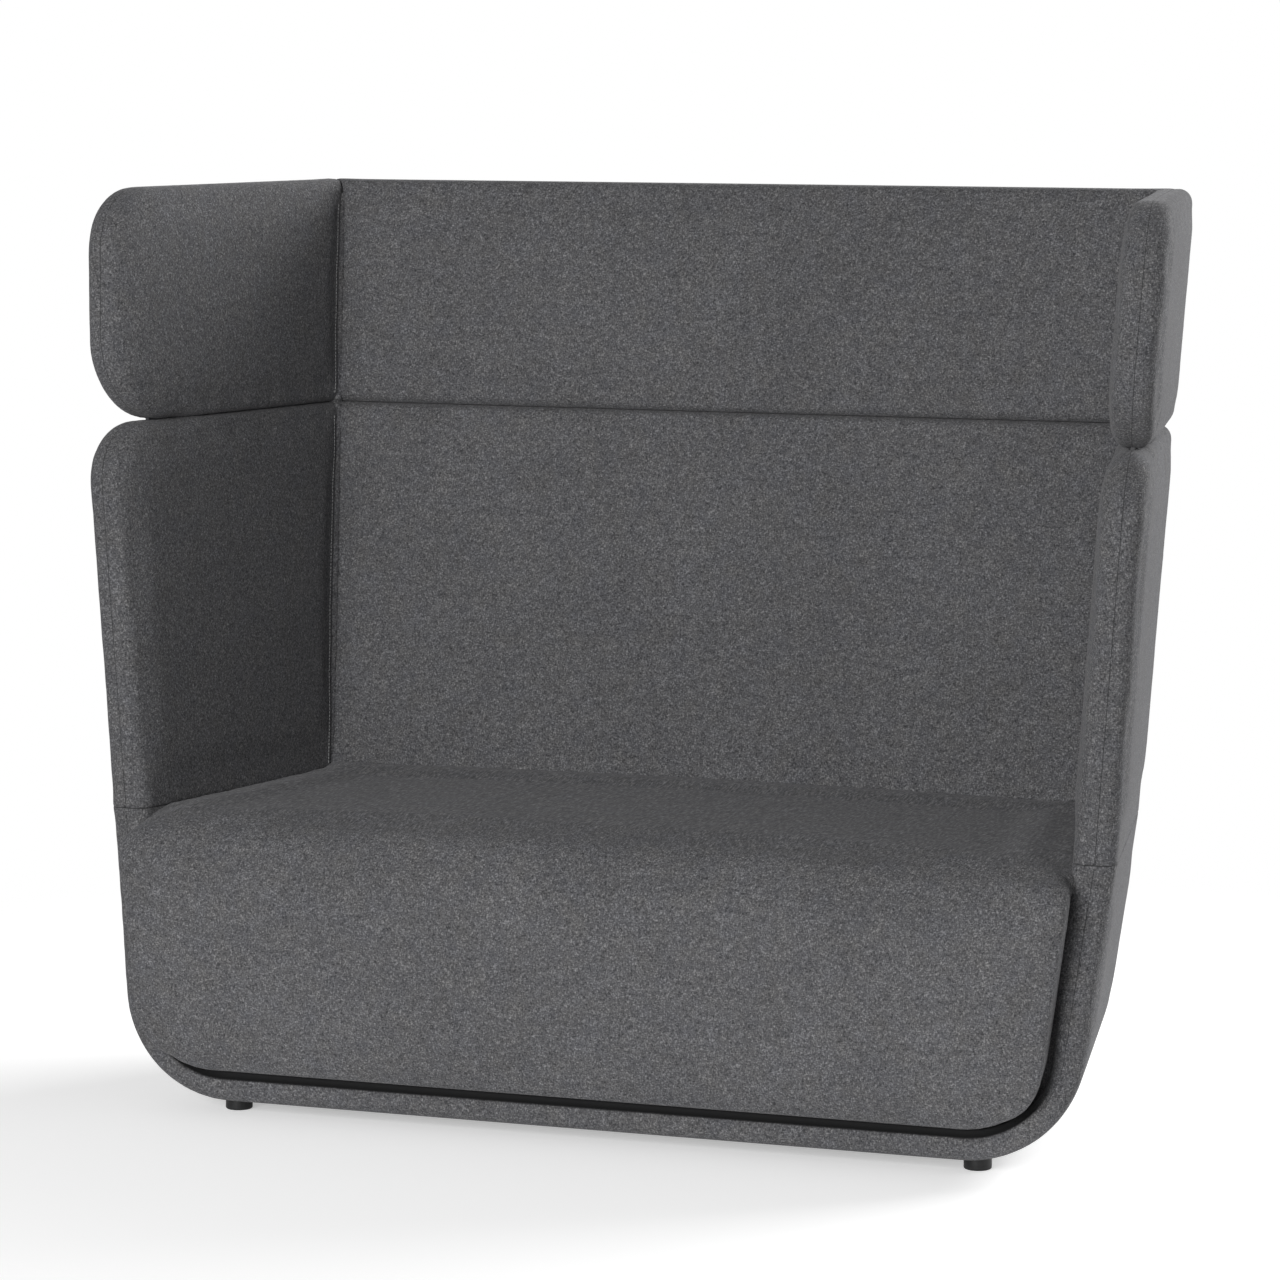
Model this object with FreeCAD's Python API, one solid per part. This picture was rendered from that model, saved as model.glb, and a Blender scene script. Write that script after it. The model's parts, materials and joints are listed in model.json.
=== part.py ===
# High-back two-seater sofa: an upholstered shell in three tiers, one block seat, four levelling feet.
# Millimetres, +Z up, the front towards -Y. The origin is on the floor, in the middle of the sofa's box.
import FreeCAD, Part
import math
import os

from FreeCAD import Vector

os.makedirs("parts", exist_ok=True)

# Overall sizes
OVERALL_HEIGHT = 1360.0
FLOOR_GAP = 21.0              # shell underside above the floor
TIER_SEAM_Z = 445.0           # stitched seam between the tub and the arms
CREASE_Z = 1014.0             # joint between the arms and the head band
INNER_HALF_WIDTH = 711.0      # inner face of an arm at its front end, on the tier seam
INNER_BACK_Y = 180.8          # inner face of the backrest on the tier seam
ARM_FRONT_Y = -287.2          # front edge of the arms
HEAD_FRONT_Y = -280.2         # front edge of the head band at the crease
SEAT_FRONT_Y = -378.2         # foremost line of the seat, at its lower edge

# Slopes in degrees
WING_SPLAY = 11.5             # the sides open towards the front, in plan
WING_LEAN = 3.9               # arms and wings lean outwards
BACK_LEAN = 8.5               # backrest leans back
TUB_LEAN = 8.0                # tub sides lean outwards
TUB_BACK_LEAN = 0.0
HEAD_FRONT_LEAN = 6.5
TUB_FRONT_LEAN = 6.5          # its front edge runs forwards to the lip
SEAT_FRONT_LEAN = 3.0

# Upholstered shell
SHELL_WALL = 62.0
CORE_BOARD = 18.0             # plywood in the middle of the wall
CORE_INSET = 30.0             # foam beyond the edge of a core
PAD_EDGE_RADIUS = 18.0
WING_CROWN = 3.0
BACK_CROWN = 5.0
REAR_CORNER_RADIUS = 40.0
ARM_TOP_RADIUS = 90.0
HEAD_LOW_RADIUS = 120.0
HEAD_TOP_RADIUS = 100.0
TUB_CORNER_RADIUS = 112.0     # inside radius where a tub side turns into its floor
ROLL_DEPTH = 70.0             # padded front edge of the tub
PAD_GAP = 0.3                 # between soft pieces and what they touch
MITRE_GAP = 0.3

# Seat
SEAT_EDGE_Z = 440.0
SEAT_CROWN = 12.0
SEAT_NOSE_RADIUS = 70.0
SEAT_EDGE_RADIUS = 28.0
SEAT_SIDE_GAP = 1.0
SEAT_BACK_GAP = 8.0
SEAT_TOP_FOAM = 122.0
BOX_BOARD = 18.0
BOX_SIDE_INSET = 11.0         # seat box side from the end of the tub's flat floor
BOX_REAR_Y = 101.8
DECK_BOARD = 18.0
DECK_EDGE_FOAM = 45.0
DECK_HOLE = 40.0
DECK_HOLE_ROWS = 3
DECK_HOLE_COLUMNS = 8
CORNER_BLOCK = 40.0
BOARD_GAP = 0.3

# Floor of the tub
LEG_LAP = 70.0                # floor board resting on each side frame
FLOOR_TURN = 4.0              # side legs end this far in front of the back frame
DUST_COVER = 1.5

# Joint bars and corner brackets
BAR_THICKNESS = 6.0
BAR_WIDTH = 40.0
BAR_REACH = 90.0              # either side of the joint
BAR_WING_Y = (-150.0, 90.0)
BAR_BACK_X = (-330.0, 330.0)
BAR_SCREW = 5.0
BAR_SCREW_STEPS = (50.0, 75.0)
BRACKET_LEG = 60.0
BRACKET_STEEL = 3.0
BRACKET_HEIGHT = 60.0
BRACKET_SCREW = 4.0
BRACKET_SCREW_AT = 40.0       # from the corner, along each leg
SCREW_GAP = 0.15

# Feet
FOOT_DIAMETER = 40.0
FOOT_EDGE_RADIUS = 3.0
FOOT_SIDE_INSET = 139.0       # front feet, in from the front end of the arms' inner faces
FOOT_FRONT_Y = -264.2
FOOT_REAR_Y = 153.8
FOOT_HOLE_GAP = 1.5
STUD_DIAMETER = 8.0
STUD_IN_FOOT = 18.0
STUD_LENGTH = 44.0
STUD_GAP = 0.25
PLATE_DIAMETER = 50.0
PLATE_STEEL = 3.0
BOSS_DIAMETER = 14.0
BOSS_HEIGHT = 14.0
PLATE_SCREW = 4.0
PLATE_SCREW_CIRCLE = 36.0
PLATE_SCREW_LENGTH = 14.0
PLATE_SCREWS = 4

# Seat and floor fixings
FLOOR_SCREW = 5.0
FLOOR_SCREW_LENGTH = 30.0
FLOOR_SCREW_Y = (-190.0, -90.0, 10.0, 90.0)
SEAT_BOLT = 6.0
SEAT_BOLT_LENGTH = 60.0

# Room beyond the object for cutting shapes
FAR = 1500.0
SPARE = 20.0

# Derived places
MID = SHELL_WALL / 2.0
CORE_IN = MID - CORE_BOARD / 2.0
CORE_OUT = MID + CORE_BOARD / 2.0
SPLAY = math.radians(WING_SPLAY)
SIDE_NORMAL = Vector(math.cos(SPLAY), math.sin(SPLAY), 0)
SIDE_RUN = Vector(-math.sin(SPLAY), math.cos(SPLAY), 0)
SIDE_START = INNER_HALF_WIDTH * math.cos(SPLAY) + ARM_FRONT_Y * math.sin(SPLAY)
FLOOR_TOP_Z = FLOOR_GAP + SHELL_WALL
LEG_BOTTOM_Z = FLOOR_TOP_Z - CORE_OUT
LEG_TOP_Z = FLOOR_TOP_Z - CORE_IN
FLOOR_BOARD_Z = LEG_TOP_Z + BOARD_GAP
BOX_Z = FLOOR_BOARD_Z + CORE_BOARD + BOARD_GAP
DECK_Z = SEAT_EDGE_Z - SEAT_TOP_FOAM - DECK_BOARD
PLATE_Z = LEG_BOTTOM_Z - PLATE_STEEL
FOOT_TOP_Z = PLATE_Z
FOOT_X = INNER_HALF_WIDTH - FOOT_SIDE_INSET


def slope(degrees):
    return math.tan(math.radians(degrees))


def side_place(z, depth):
    """Distance of a side wall's layer from the middle of the plan, along the side's normal."""
    lean = WING_LEAN if z >= TIER_SEAM_Z else TUB_LEAN
    return SIDE_START + (z - TIER_SEAM_Z) * slope(lean) + depth


def back_place(z, depth):
    lean = BACK_LEAN if z >= TIER_SEAM_Z else TUB_BACK_LEAN
    return INNER_BACK_Y + (z - TIER_SEAM_Z) * slope(lean) + depth


def side_spot(place, y):
    """Plan point at a distance along the side's normal and at a given y."""
    return Vector((place - y * math.sin(SPLAY)) / math.cos(SPLAY), y, 0)


def side_point(z, depth, y):
    return side_spot(side_place(z, depth), y) + Vector(0, 0, z)


def corner(z, depth):
    return side_point(z, depth, back_place(z, depth))


def side_depth(p):
    return SIDE_NORMAL.dot(Vector(p.x, p.y, 0)) - side_place(p.z, 0)


def back_depth(p):
    return p.y - back_place(p.z, 0)


def mirrored(shape):
    return shape.mirror(Vector(0, 0, 0), Vector(1, 0, 0))


def flipped(p):
    return Vector(-p.x, p.y, p.z)


def line(a, b):
    return Part.LineSegment(a, b).toShape()


def arc(a, middle, b):
    return Part.Arc(a, middle, b).toShape()


def rounded_face(corners):
    """Flat face from (point, radius) corners: lines joined by tangent arcs."""
    edges = []
    starts = []
    ends = []
    count = len(corners)
    for i, (point, radius) in enumerate(corners):
        back = (corners[i - 1][0] - point).normalize()
        onward = (corners[(i + 1) % count][0] - point).normalize()
        half = back.getAngle(onward) / 2.0
        reach = radius / math.tan(half)
        starts.append(point + back * reach)
        ends.append(point + onward * reach)
    for i, (point, radius) in enumerate(corners):
        if radius > 0:
            towards = ((starts[i] + ends[i]) * 0.5 - point).normalize()
            half = (starts[i] - point).getAngle(ends[i] - point) / 2.0
            middle = point + towards * (radius / math.sin(half) - radius)
            edges.append(arc(starts[i], middle, ends[i]))
        edges.append(line(ends[i], starts[(i + 1) % count]))
    return Part.Face(Part.Wire(edges))


def across(corners):
    """Solid of a side-view outline of (y, z, radius) corners, right across the sofa."""
    face = rounded_face([(Vector(-FAR, y, z), radius) for y, z, radius in corners])
    return face.extrude(Vector(2 * FAR, 0, 0))


def upright(points, low, high):
    """Solid of a plan outline between two heights."""
    closed = [Vector(p.x, p.y, low) for p in points]
    return Part.Face(Part.makePolygon(closed + closed[:1])).extrude(Vector(0, 0, high - low))


def ring(points):
    return Part.makePolygon(points + points[:1])


def between(low, high):
    """Flat-sided solid between two outlines with matching corners."""
    faces = [Part.Face(ring(low)), Part.Face(ring(high))]
    for i in range(len(low)):
        faces.append(Part.Face(ring([low[i - 1], low[i], high[i], high[i - 1]])))
    solid = Part.makeSolid(Part.makeShell(faces))
    if solid.Volume < 0:
        solid.reverse()
    return solid


def rod(start, direction, length, diameter):
    return Part.makeCylinder(diameter / 2.0, length, start, direction)


def softened(solid, is_rim, radius):
    return solid.makeFillet(radius, [e for e in solid.Edges if is_rim(e)])


def edge_points(edge):
    first, last = edge.ParameterRange
    return [edge.valueAt(first + (last - first) * share) for share in (0.05, 0.5, 0.95)]


def cut_all(solid, tools):
    return solid.cut(tools)


def save(name, shape):
    shape.exportStep("parts/" + name + ".step")


# Wall layers of the arms, backrest and head band
BACK_NORMAL = Vector(0, 1, 0)
CORNER_NORMAL = (SIDE_NORMAL + BACK_NORMAL).normalize()


def corner_centre(z, depth, radius):
    p = corner(z, depth)
    inward = radius * (math.sin(SPLAY) - 1.0) / math.cos(SPLAY)
    return Vector(p.x + inward, p.y - radius, z)


def corner_arc(z, depth, radius, start_normal, end_normal):
    centre = corner_centre(z, depth, radius)
    middle = (start_normal + end_normal).normalize()
    return [centre + n * radius for n in (start_normal, middle, end_normal)]


def side_section(z, inner, outer, radius, crown):
    """Plan outline of the right-hand wall between two depths, mitred at the rear corner."""
    slip = SIDE_RUN * -MITRE_GAP
    front = ARM_FRONT_Y - SPARE
    inner_front = side_point(z, inner, front)
    outer_front = side_point(z, outer, front)
    inner_rear = corner(z, inner) + slip
    edges = [line(inner_front, outer_front)]
    if radius:
        a, middle, b = [p + slip for p in corner_arc(z, outer, radius, SIDE_NORMAL, CORNER_NORMAL)]
        edges += [line(outer_front, a), arc(a, middle, b), line(b, inner_rear)]
    else:
        outer_rear = corner(z, outer) + slip
        edges += [line(outer_front, outer_rear), line(outer_rear, inner_rear)]
    if crown:
        bulge = (inner_front + inner_rear) * 0.5 - SIDE_NORMAL * crown
        edges.append(arc(inner_rear, bulge, inner_front))
    else:
        edges.append(line(inner_rear, inner_front))
    return Part.Wire(edges)


def back_section(z, inner, outer, radius, crown):
    """Plan outline of the back wall between two depths, mitred at both ends."""
    slip = Vector(-MITRE_GAP, 0, 0)
    inner_right = corner(z, inner) + slip
    inner_left = flipped(inner_right)
    if radius:
        a, middle, b = [p + slip for p in corner_arc(z, outer, radius, CORNER_NORMAL, BACK_NORMAL)]
        edges = [line(inner_right, a), arc(a, middle, b), line(b, flipped(b))]
        edges += [arc(flipped(b), flipped(middle), flipped(a)), line(flipped(a), inner_left)]
    else:
        outer_right = corner(z, outer) + slip
        outer_left = flipped(outer_right)
        edges = [line(inner_right, outer_right), line(outer_right, outer_left), line(outer_left, inner_left)]
    if crown:
        bulge = Vector(0, inner_right.y - crown, z)
        edges.append(arc(inner_left, bulge, inner_right))
    else:
        edges.append(line(inner_left, inner_right))
    return Part.Wire(edges)


def wall(section, inner, outer, radius=0.0, crown=0.0):
    """Leaning wall layer from the tier seam to above the top."""
    wires = [section(z, inner, outer, radius, crown) for z in (TIER_SEAM_Z, OVERALL_HEIGHT + SPARE)]
    if radius or crown:
        return Part.makeLoft(wires, True, True)
    return between(*[[v.Point for v in w.OrderedVertexes] for w in wires])


def arm_outline(inset, low):
    """Side view of the arms and backrest, set in from the front and the crease."""
    radius = max(ARM_TOP_RADIUS - inset, 1.0)
    top = CREASE_Z - PAD_GAP / 2.0 - inset
    front = ARM_FRONT_Y + inset
    return across([(front, low, 0), (front, top, radius), (FAR, top, 0), (FAR, low, 0)])


def head_outline(inset):
    """Side view of the head band, set in on every edge that shows."""
    low = CREASE_Z + PAD_GAP / 2.0 + inset
    top = OVERALL_HEIGHT - inset
    lean = slope(HEAD_FRONT_LEAN)
    front = HEAD_FRONT_Y + inset
    low_front = front + (low - CREASE_Z) * lean
    top_front = front + (top - CREASE_Z) * lean
    corners = [(low_front, low, max(HEAD_LOW_RADIUS - inset, 1.0))]
    corners += [(top_front, top, max(HEAD_TOP_RADIUS - inset, 1.0)), (FAR, top, 0), (FAR, low, 0)]
    return across(corners)


def on_outside(p):
    """A point on the outer skin of the shell, on a side, the back or the rounded rear corner."""
    if abs(side_depth(p) - SHELL_WALL) < 0.5 or abs(back_depth(p) - SHELL_WALL) < 0.5:
        return True
    centre = corner_centre(p.z, SHELL_WALL, REAR_CORNER_RADIUS)
    return abs(math.hypot(abs(p.x) - centre.x, p.y - centre.y) - REAR_CORNER_RADIUS) < 0.5


def is_seam_level(points):
    return all(abs(p.z - TIER_SEAM_Z) < 0.5 for p in points)


def is_rear_upright(points):
    tall = abs(points[0].z - points[2].z)
    return points[1].y > 0 and tall > 0.9 * (points[0] - points[2]).Length


def outer_rim(edge):
    points = edge_points(edge)
    skin = all(on_outside(p) for p in points)
    return skin and not is_seam_level(points) and not is_rear_upright(points)


def inner_rim_of(depth, crown):
    """Test for the edges round a pad's inner face, apart from its mitred ends and the tier seam."""
    def inner_rim(edge):
        points = edge_points(edge)
        skin = all(-crown - 0.5 < depth(p) < 0.5 for p in points)
        return skin and not is_seam_level(points) and not is_rear_upright(points)
    return inner_rim


# Joint bars across the tier seam and the crease, and corner brackets on the cores
def flat_bar(joint_z, middle_at, normal, run, grow):
    """Steel bar across a joint, bent where the wall's slope changes."""
    thick = normal * (BAR_THICKNESS / 2.0 + grow)
    wide = run * (BAR_WIDTH / 2.0 + grow)
    ends = []
    for z in (joint_z - BAR_REACH - grow, joint_z, joint_z + BAR_REACH + grow):
        middle = middle_at(z)
        near = [middle + thick + wide, middle + thick - wide]
        ends.append(near + [middle - thick - wide, middle - thick + wide])
    return between(ends[0], ends[1]).fuse(between(ends[1], ends[2])).removeSplitter()


def side_bar(joint_z, y, grow):
    return flat_bar(joint_z, lambda z: side_point(z, MID, y), SIDE_NORMAL, SIDE_RUN, grow)


def back_bar(joint_z, x, grow):
    return flat_bar(joint_z, lambda z: Vector(x, back_place(z, MID), z), BACK_NORMAL, Vector(1, 0, 0), grow)


def joint_bars(joint_z, grow):
    right = [side_bar(joint_z, y, grow) for y in BAR_WING_Y]
    backs = [back_bar(joint_z, x, grow) for x in BAR_BACK_X]
    return right + [mirrored(b) for b in right] + backs


def bar_screws(joint_z, grow):
    """Screws through core and bar, ending just under both faces of the core."""
    steps = [side * step for step in BAR_SCREW_STEPS for side in (-1, 1)]
    length = CORE_BOARD - 2.0 + 2.0 * grow
    screws = []
    for step in steps:
        z = joint_z + step
        for y in BAR_WING_Y:
            start = side_spot(side_place(z, CORE_IN) + 1.0 - grow, y) + Vector(0, 0, z)
            screw = rod(start, SIDE_NORMAL, length, BAR_SCREW + 2.0 * grow)
            screws += [screw, mirrored(screw)]
        for x in BAR_BACK_X:
            start = Vector(x, back_place(z, CORE_IN) + 1.0 - grow, z)
            screws.append(rod(start, BACK_NORMAL, length, BAR_SCREW + 2.0 * grow))
    return screws


def bracket(low, grow):
    """Steel angle on the inner faces of the two cores at the right rear corner."""
    ends = []
    near = CORE_IN - BOARD_GAP + grow
    far = CORE_IN - BOARD_GAP - BRACKET_STEEL - grow
    leg = BRACKET_LEG + grow
    for z in (low - grow, low + BRACKET_HEIGHT + grow):
        a = corner(z, near)
        b = corner(z, far)
        points = [a, a - SIDE_RUN * leg, b - SIDE_RUN * (leg - (a - b).dot(SIDE_RUN))]
        points += [b, Vector(a.x - leg, b.y, z), Vector(a.x - leg, a.y, z)]
        ends.append(points)
    return between(*ends)


BRACKET_Z = (TIER_SEAM_Z - 200.0, TIER_SEAM_Z + 120.0, CREASE_Z - 180.0, CREASE_Z + 140.0)


def brackets(grow):
    right = [bracket(z, grow) for z in BRACKET_Z]
    return right + [mirrored(b) for b in right]


def bracket_screws(grow):
    screws = []
    length = BRACKET_STEEL + CORE_BOARD / 2.0
    for low in BRACKET_Z:
        z = low + BRACKET_HEIGHT / 2.0
        depth = CORE_IN - BOARD_GAP - BRACKET_STEEL + 0.5
        p = corner(z, depth)
        on_side = p - SIDE_RUN * BRACKET_SCREW_AT
        on_back = p - Vector(BRACKET_SCREW_AT, 0, 0)
        for start, direction in ((on_side, SIDE_NORMAL), (on_back, BACK_NORMAL)):
            screw = rod(start - direction * grow, direction, length + 2 * grow, BRACKET_SCREW + 2 * grow)
            screws += [screw, mirrored(screw)]
    return screws


SEAM_BARS = joint_bars(TIER_SEAM_Z, 0)
CREASE_BARS = joint_bars(CREASE_Z, 0)
BAR_ROOM = joint_bars(TIER_SEAM_Z, PAD_GAP) + joint_bars(CREASE_Z, PAD_GAP)
BAR_SCREWS = bar_screws(TIER_SEAM_Z, 0) + bar_screws(CREASE_Z, 0)
BAR_SCREW_ROOM = bar_screws(TIER_SEAM_Z, SCREW_GAP) + bar_screws(CREASE_Z, SCREW_GAP)
BRACKETS = brackets(0)
BRACKET_ROOM = brackets(PAD_GAP)
BRACKET_SCREWS = bracket_screws(0)
BRACKET_SCREW_ROOM = bracket_screws(SCREW_GAP)
HARDWARE_ROOM = BAR_ROOM + BRACKET_ROOM


# Arms, backrest and head band: a plywood core between an inner and an outer pad
def tier(outline, core_outline, core_room_outline, section, crown, depth):
    core = wall(section, CORE_IN, CORE_OUT).common(core_outline)
    room = wall(section, CORE_IN - PAD_GAP, CORE_OUT + PAD_GAP).common(core_room_outline)
    inner = wall(section, 0.0, MID - PAD_GAP / 2.0, crown=crown).common(outline)
    inner = softened(inner, inner_rim_of(depth, crown), PAD_EDGE_RADIUS)
    outer = wall(section, MID + PAD_GAP / 2.0, SHELL_WALL, radius=REAR_CORNER_RADIUS).common(outline)
    outer = softened(outer, outer_rim, PAD_EDGE_RADIUS)
    tools = [room] + HARDWARE_ROOM
    core = cut_all(core, BAR_ROOM + BAR_SCREW_ROOM + BRACKET_SCREW_ROOM)
    return core, cut_all(inner, tools + BRACKET_SCREW_ROOM), cut_all(outer, tools)


ARM_LOW = TIER_SEAM_Z + PAD_GAP / 2.0
ARM_SHAPES = (arm_outline(0, ARM_LOW), arm_outline(CORE_INSET, ARM_LOW), arm_outline(CORE_INSET - PAD_GAP, 0))
HEAD_SHAPES = (head_outline(0), head_outline(CORE_INSET), head_outline(CORE_INSET - PAD_GAP))

for names, shapes in ((("arm", "backrest"), ARM_SHAPES), (("wing", "head_back"), HEAD_SHAPES)):
    side_name, back_name = names
    side_parts = tier(*shapes, side_section, WING_CROWN, side_depth)
    back_parts = tier(*shapes, back_section, BACK_CROWN, back_depth)
    for layer, side_part, back_part in zip(("core", "inner_pad", "outer_pad"), side_parts, back_parts):
        save(side_name + "_" + layer + "_right", side_part)
        save(side_name + "_" + layer + "_left", mirrored(side_part))
        save(back_name + "_" + layer, back_part)

save("tier_joint_bars", Part.makeCompound([cut_all(b, BAR_SCREW_ROOM) for b in SEAM_BARS]))
save("head_joint_bars", Part.makeCompound([cut_all(b, BAR_SCREW_ROOM) for b in CREASE_BARS]))
save("bar_screws", Part.makeCompound(BAR_SCREWS))
save("corner_brackets", Part.makeCompound([cut_all(b, BRACKET_SCREW_ROOM) for b in BRACKETS]))
save("bracket_screws", Part.makeCompound(BRACKET_SCREWS))


# Tub: a U-shaped cradle, closed by a back wall
TUB_ARC_Z = FLOOR_TOP_Z + TUB_CORNER_RADIUS


def arc_place(depth):
    """Distance of the centre of the tub's side-to-floor turn along the side's normal."""
    lean = math.radians(TUB_LEAN)
    return side_place(TUB_ARC_Z, depth) - (TUB_CORNER_RADIUS + depth) / math.cos(lean)


def cradle_half(depth, top):
    """Everything inside the right-hand wall and floor of the tub at one depth in the wall."""
    lean = math.radians(TUB_LEAN)
    radius = TUB_CORNER_RADIUS + depth
    centre = Vector(arc_place(depth), 0, TUB_ARC_Z)
    turn = -(math.pi / 2.0 + lean) / 2.0
    low = centre + Vector(0, 0, -radius)
    middle = centre + Vector(math.cos(turn), 0, math.sin(turn)) * radius
    high = centre + Vector(math.cos(lean), 0, -math.sin(lean)) * radius
    rim = SIDE_START + (top - TIER_SEAM_Z) * math.tan(lean) + depth
    flat = [Vector(-FAR, 0, top), Vector(-FAR, 0, low.z), low, middle, high, Vector(rim, 0, top)]
    p = [SIDE_NORMAL * v.x + Vector(0, 0, v.z) - SIDE_RUN * FAR for v in flat]
    edges = [line(p[0], p[1]), line(p[1], p[2]), arc(p[2], p[3], p[4]), line(p[4], p[5]), line(p[5], p[0])]
    return Part.Face(Part.Wire(edges)).extrude(SIDE_RUN * (2 * FAR))


def tub_front(z):
    return ARM_FRONT_Y - (TIER_SEAM_Z - z) * slope(TUB_FRONT_LEAN)


def tub_inside(depth, top, front_shift):
    """Space inside one layer of the tub; front_shift moves its front end."""
    half = cradle_half(depth, top)
    cradle = half.common(mirrored(half))
    low_rear = INNER_BACK_Y - TIER_SEAM_Z * slope(TUB_BACK_LEAN) + depth
    top_rear = INNER_BACK_Y + (top - TIER_SEAM_Z) * slope(TUB_BACK_LEAN) + depth
    side = [(tub_front(0) + front_shift, 0, 0), (tub_front(top) + front_shift, top, 0)]
    return cradle.common(across(side + [(top_rear, top, 0), (low_rear, 0, 0)]))


def on_plane_y(points, place):
    return all(abs(p.y - place(p.z)) < 0.1 for p in points)


TUB_TOP = TIER_SEAM_Z - PAD_GAP / 2.0


def tub_rear_rim(edge):
    points = edge_points(edge)
    return on_plane_y(points, lambda z: back_place(z - 0.001, SHELL_WALL)) and points[1].z < TUB_TOP - 1.0


def tub_front_rim(edge):
    points = edge_points(edge)
    return on_plane_y(points, tub_front) and points[1].z < TUB_TOP - 1.0


def tub_inner_front_rim(edge):
    points = edge_points(edge)
    near = all(side_depth(Vector(abs(p.x), p.y, p.z)) < 1.0 and p.z > FLOOR_TOP_Z - 1.0 for p in points)
    return near and on_plane_y(points, tub_front) and points[1].z < TUB_TOP - 1.0


TUB_OPEN_TOP = TIER_SEAM_Z + SPARE
tub = tub_inside(SHELL_WALL, TUB_TOP, 0.0)
tub = softened(tub, tub_rear_rim, REAR_CORNER_RADIUS)
tub = softened(tub, tub_front_rim, PAD_EDGE_RADIUS)
tub = tub.cut(tub_inside(0.0, TUB_OPEN_TOP, -SPARE))
tub = softened(tub, tub_inner_front_rim, PAD_EDGE_RADIUS)

core_space = tub_inside(CORE_OUT, TUB_TOP, CORE_INSET).cut(tub_inside(CORE_IN, TUB_OPEN_TOP, -SPARE))
core_room = tub_inside(CORE_OUT + PAD_GAP, TUB_OPEN_TOP, CORE_INSET - PAD_GAP)
core_room = core_room.cut(tub_inside(CORE_IN - PAD_GAP, TUB_OPEN_TOP + SPARE, -SPARE))
mid_inside = tub_inside(MID - PAD_GAP / 2.0, TUB_OPEN_TOP, -SPARE)
mid_outside = tub_inside(MID + PAD_GAP / 2.0, TUB_OPEN_TOP, -SPARE)

# Plan regions that divide the tub: two sides, the back behind its mitres, the lip between the sides
LEG_PLACE = arc_place(CORE_OUT) - LEG_LAP
FLOOR_TURN_Y = back_place(LEG_BOTTOM_Z, CORE_IN) - FLOOR_TURN
MITRE_RUN = Vector(CORNER_NORMAL.x, CORNER_NORMAL.y, 0)
tub_corner = corner(TIER_SEAM_Z, 0)


def mitre_at(y):
    """Point of the mitre line through the tub's inner rear corner."""
    return Vector(tub_corner.x, tub_corner.y, 0) + MITRE_RUN * ((y - tub_corner.y) / MITRE_RUN.y)


def right_region(place):
    """The right side and its leg, up to the foot of the back wall and the mitre."""
    turn = mitre_at(FLOOR_TURN_Y) - SIDE_RUN * MITRE_GAP
    end = turn + MITRE_RUN * FAR
    plan = [side_spot(place, -FAR), side_spot(place, turn.y), turn, end]
    return upright(plan + [Vector(2 * FAR, end.y, 0), Vector(2 * FAR, -FAR, 0)], -SPARE, FAR)


def back_region():
    turn = mitre_at(FLOOR_TURN_Y) - Vector(MITRE_GAP, 0, 0)
    end = turn + MITRE_RUN * FAR
    points = [turn, end, Vector(end.x, 2 * FAR, 0)]
    return upright(points + [flipped(p) for p in reversed(points)], -SPARE, FAR)


def box_plan(place, front, rear):
    """Plan outline with both sides along the splay and straight ends."""
    right = [side_spot(place, front), side_spot(place, rear)]
    return right + [flipped(p) for p in reversed(right)]


def between_legs(place, low_y, high_y):
    return upright(box_plan(place, low_y, high_y), -SPARE, FAR)


# Feet, their plates and screws
FOOT_PLACE = SIDE_NORMAL.dot(Vector(FOOT_X, FOOT_FRONT_Y, 0))
FEET = {"front_right": side_spot(FOOT_PLACE, FOOT_FRONT_Y), "rear_right": side_spot(FOOT_PLACE, FOOT_REAR_Y)}
FEET.update({name.replace("right", "left"): flipped(p) for name, p in list(FEET.items())})


def foot_holes(grow_foot, grow_plate):
    """Room for every foot and its plate in the underside of the tub."""
    holes = []
    for p in FEET.values():
        base = Vector(p.x, p.y, -SPARE)
        holes.append(rod(base, Vector(0, 0, 1), LEG_BOTTOM_Z + SPARE, FOOT_DIAMETER + 2 * grow_foot))
        plate = Vector(p.x, p.y, PLATE_Z - grow_plate)
        room = PLATE_DIAMETER + 2 * grow_plate
        holes.append(rod(plate, Vector(0, 0, 1), PLATE_STEEL + 2 * grow_plate, room))
    return holes


def boss_holes(grow):
    height = BOSS_HEIGHT + SPARE
    room = BOSS_DIAMETER + 2 * grow
    return [rod(Vector(p.x, p.y, PLATE_Z), Vector(0, 0, 1), height, room) for p in FEET.values()]


def plate_screws(grow, sink):
    """Screws from under each plate up into the frame's leg."""
    screws = []
    for p in FEET.values():
        for i in range(PLATE_SCREWS):
            angle = math.pi / PLATE_SCREWS + 2 * math.pi * i / PLATE_SCREWS
            ring_x = p.x + PLATE_SCREW_CIRCLE / 2.0 * math.cos(angle)
            ring_y = p.y + PLATE_SCREW_CIRCLE / 2.0 * math.sin(angle)
            start = Vector(ring_x, ring_y, PLATE_Z + 0.2 - sink)
            length = PLATE_SCREW_LENGTH + sink + grow
            screws.append(rod(start, Vector(0, 0, 1), length, PLATE_SCREW + 2 * grow))
    return screws


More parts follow.
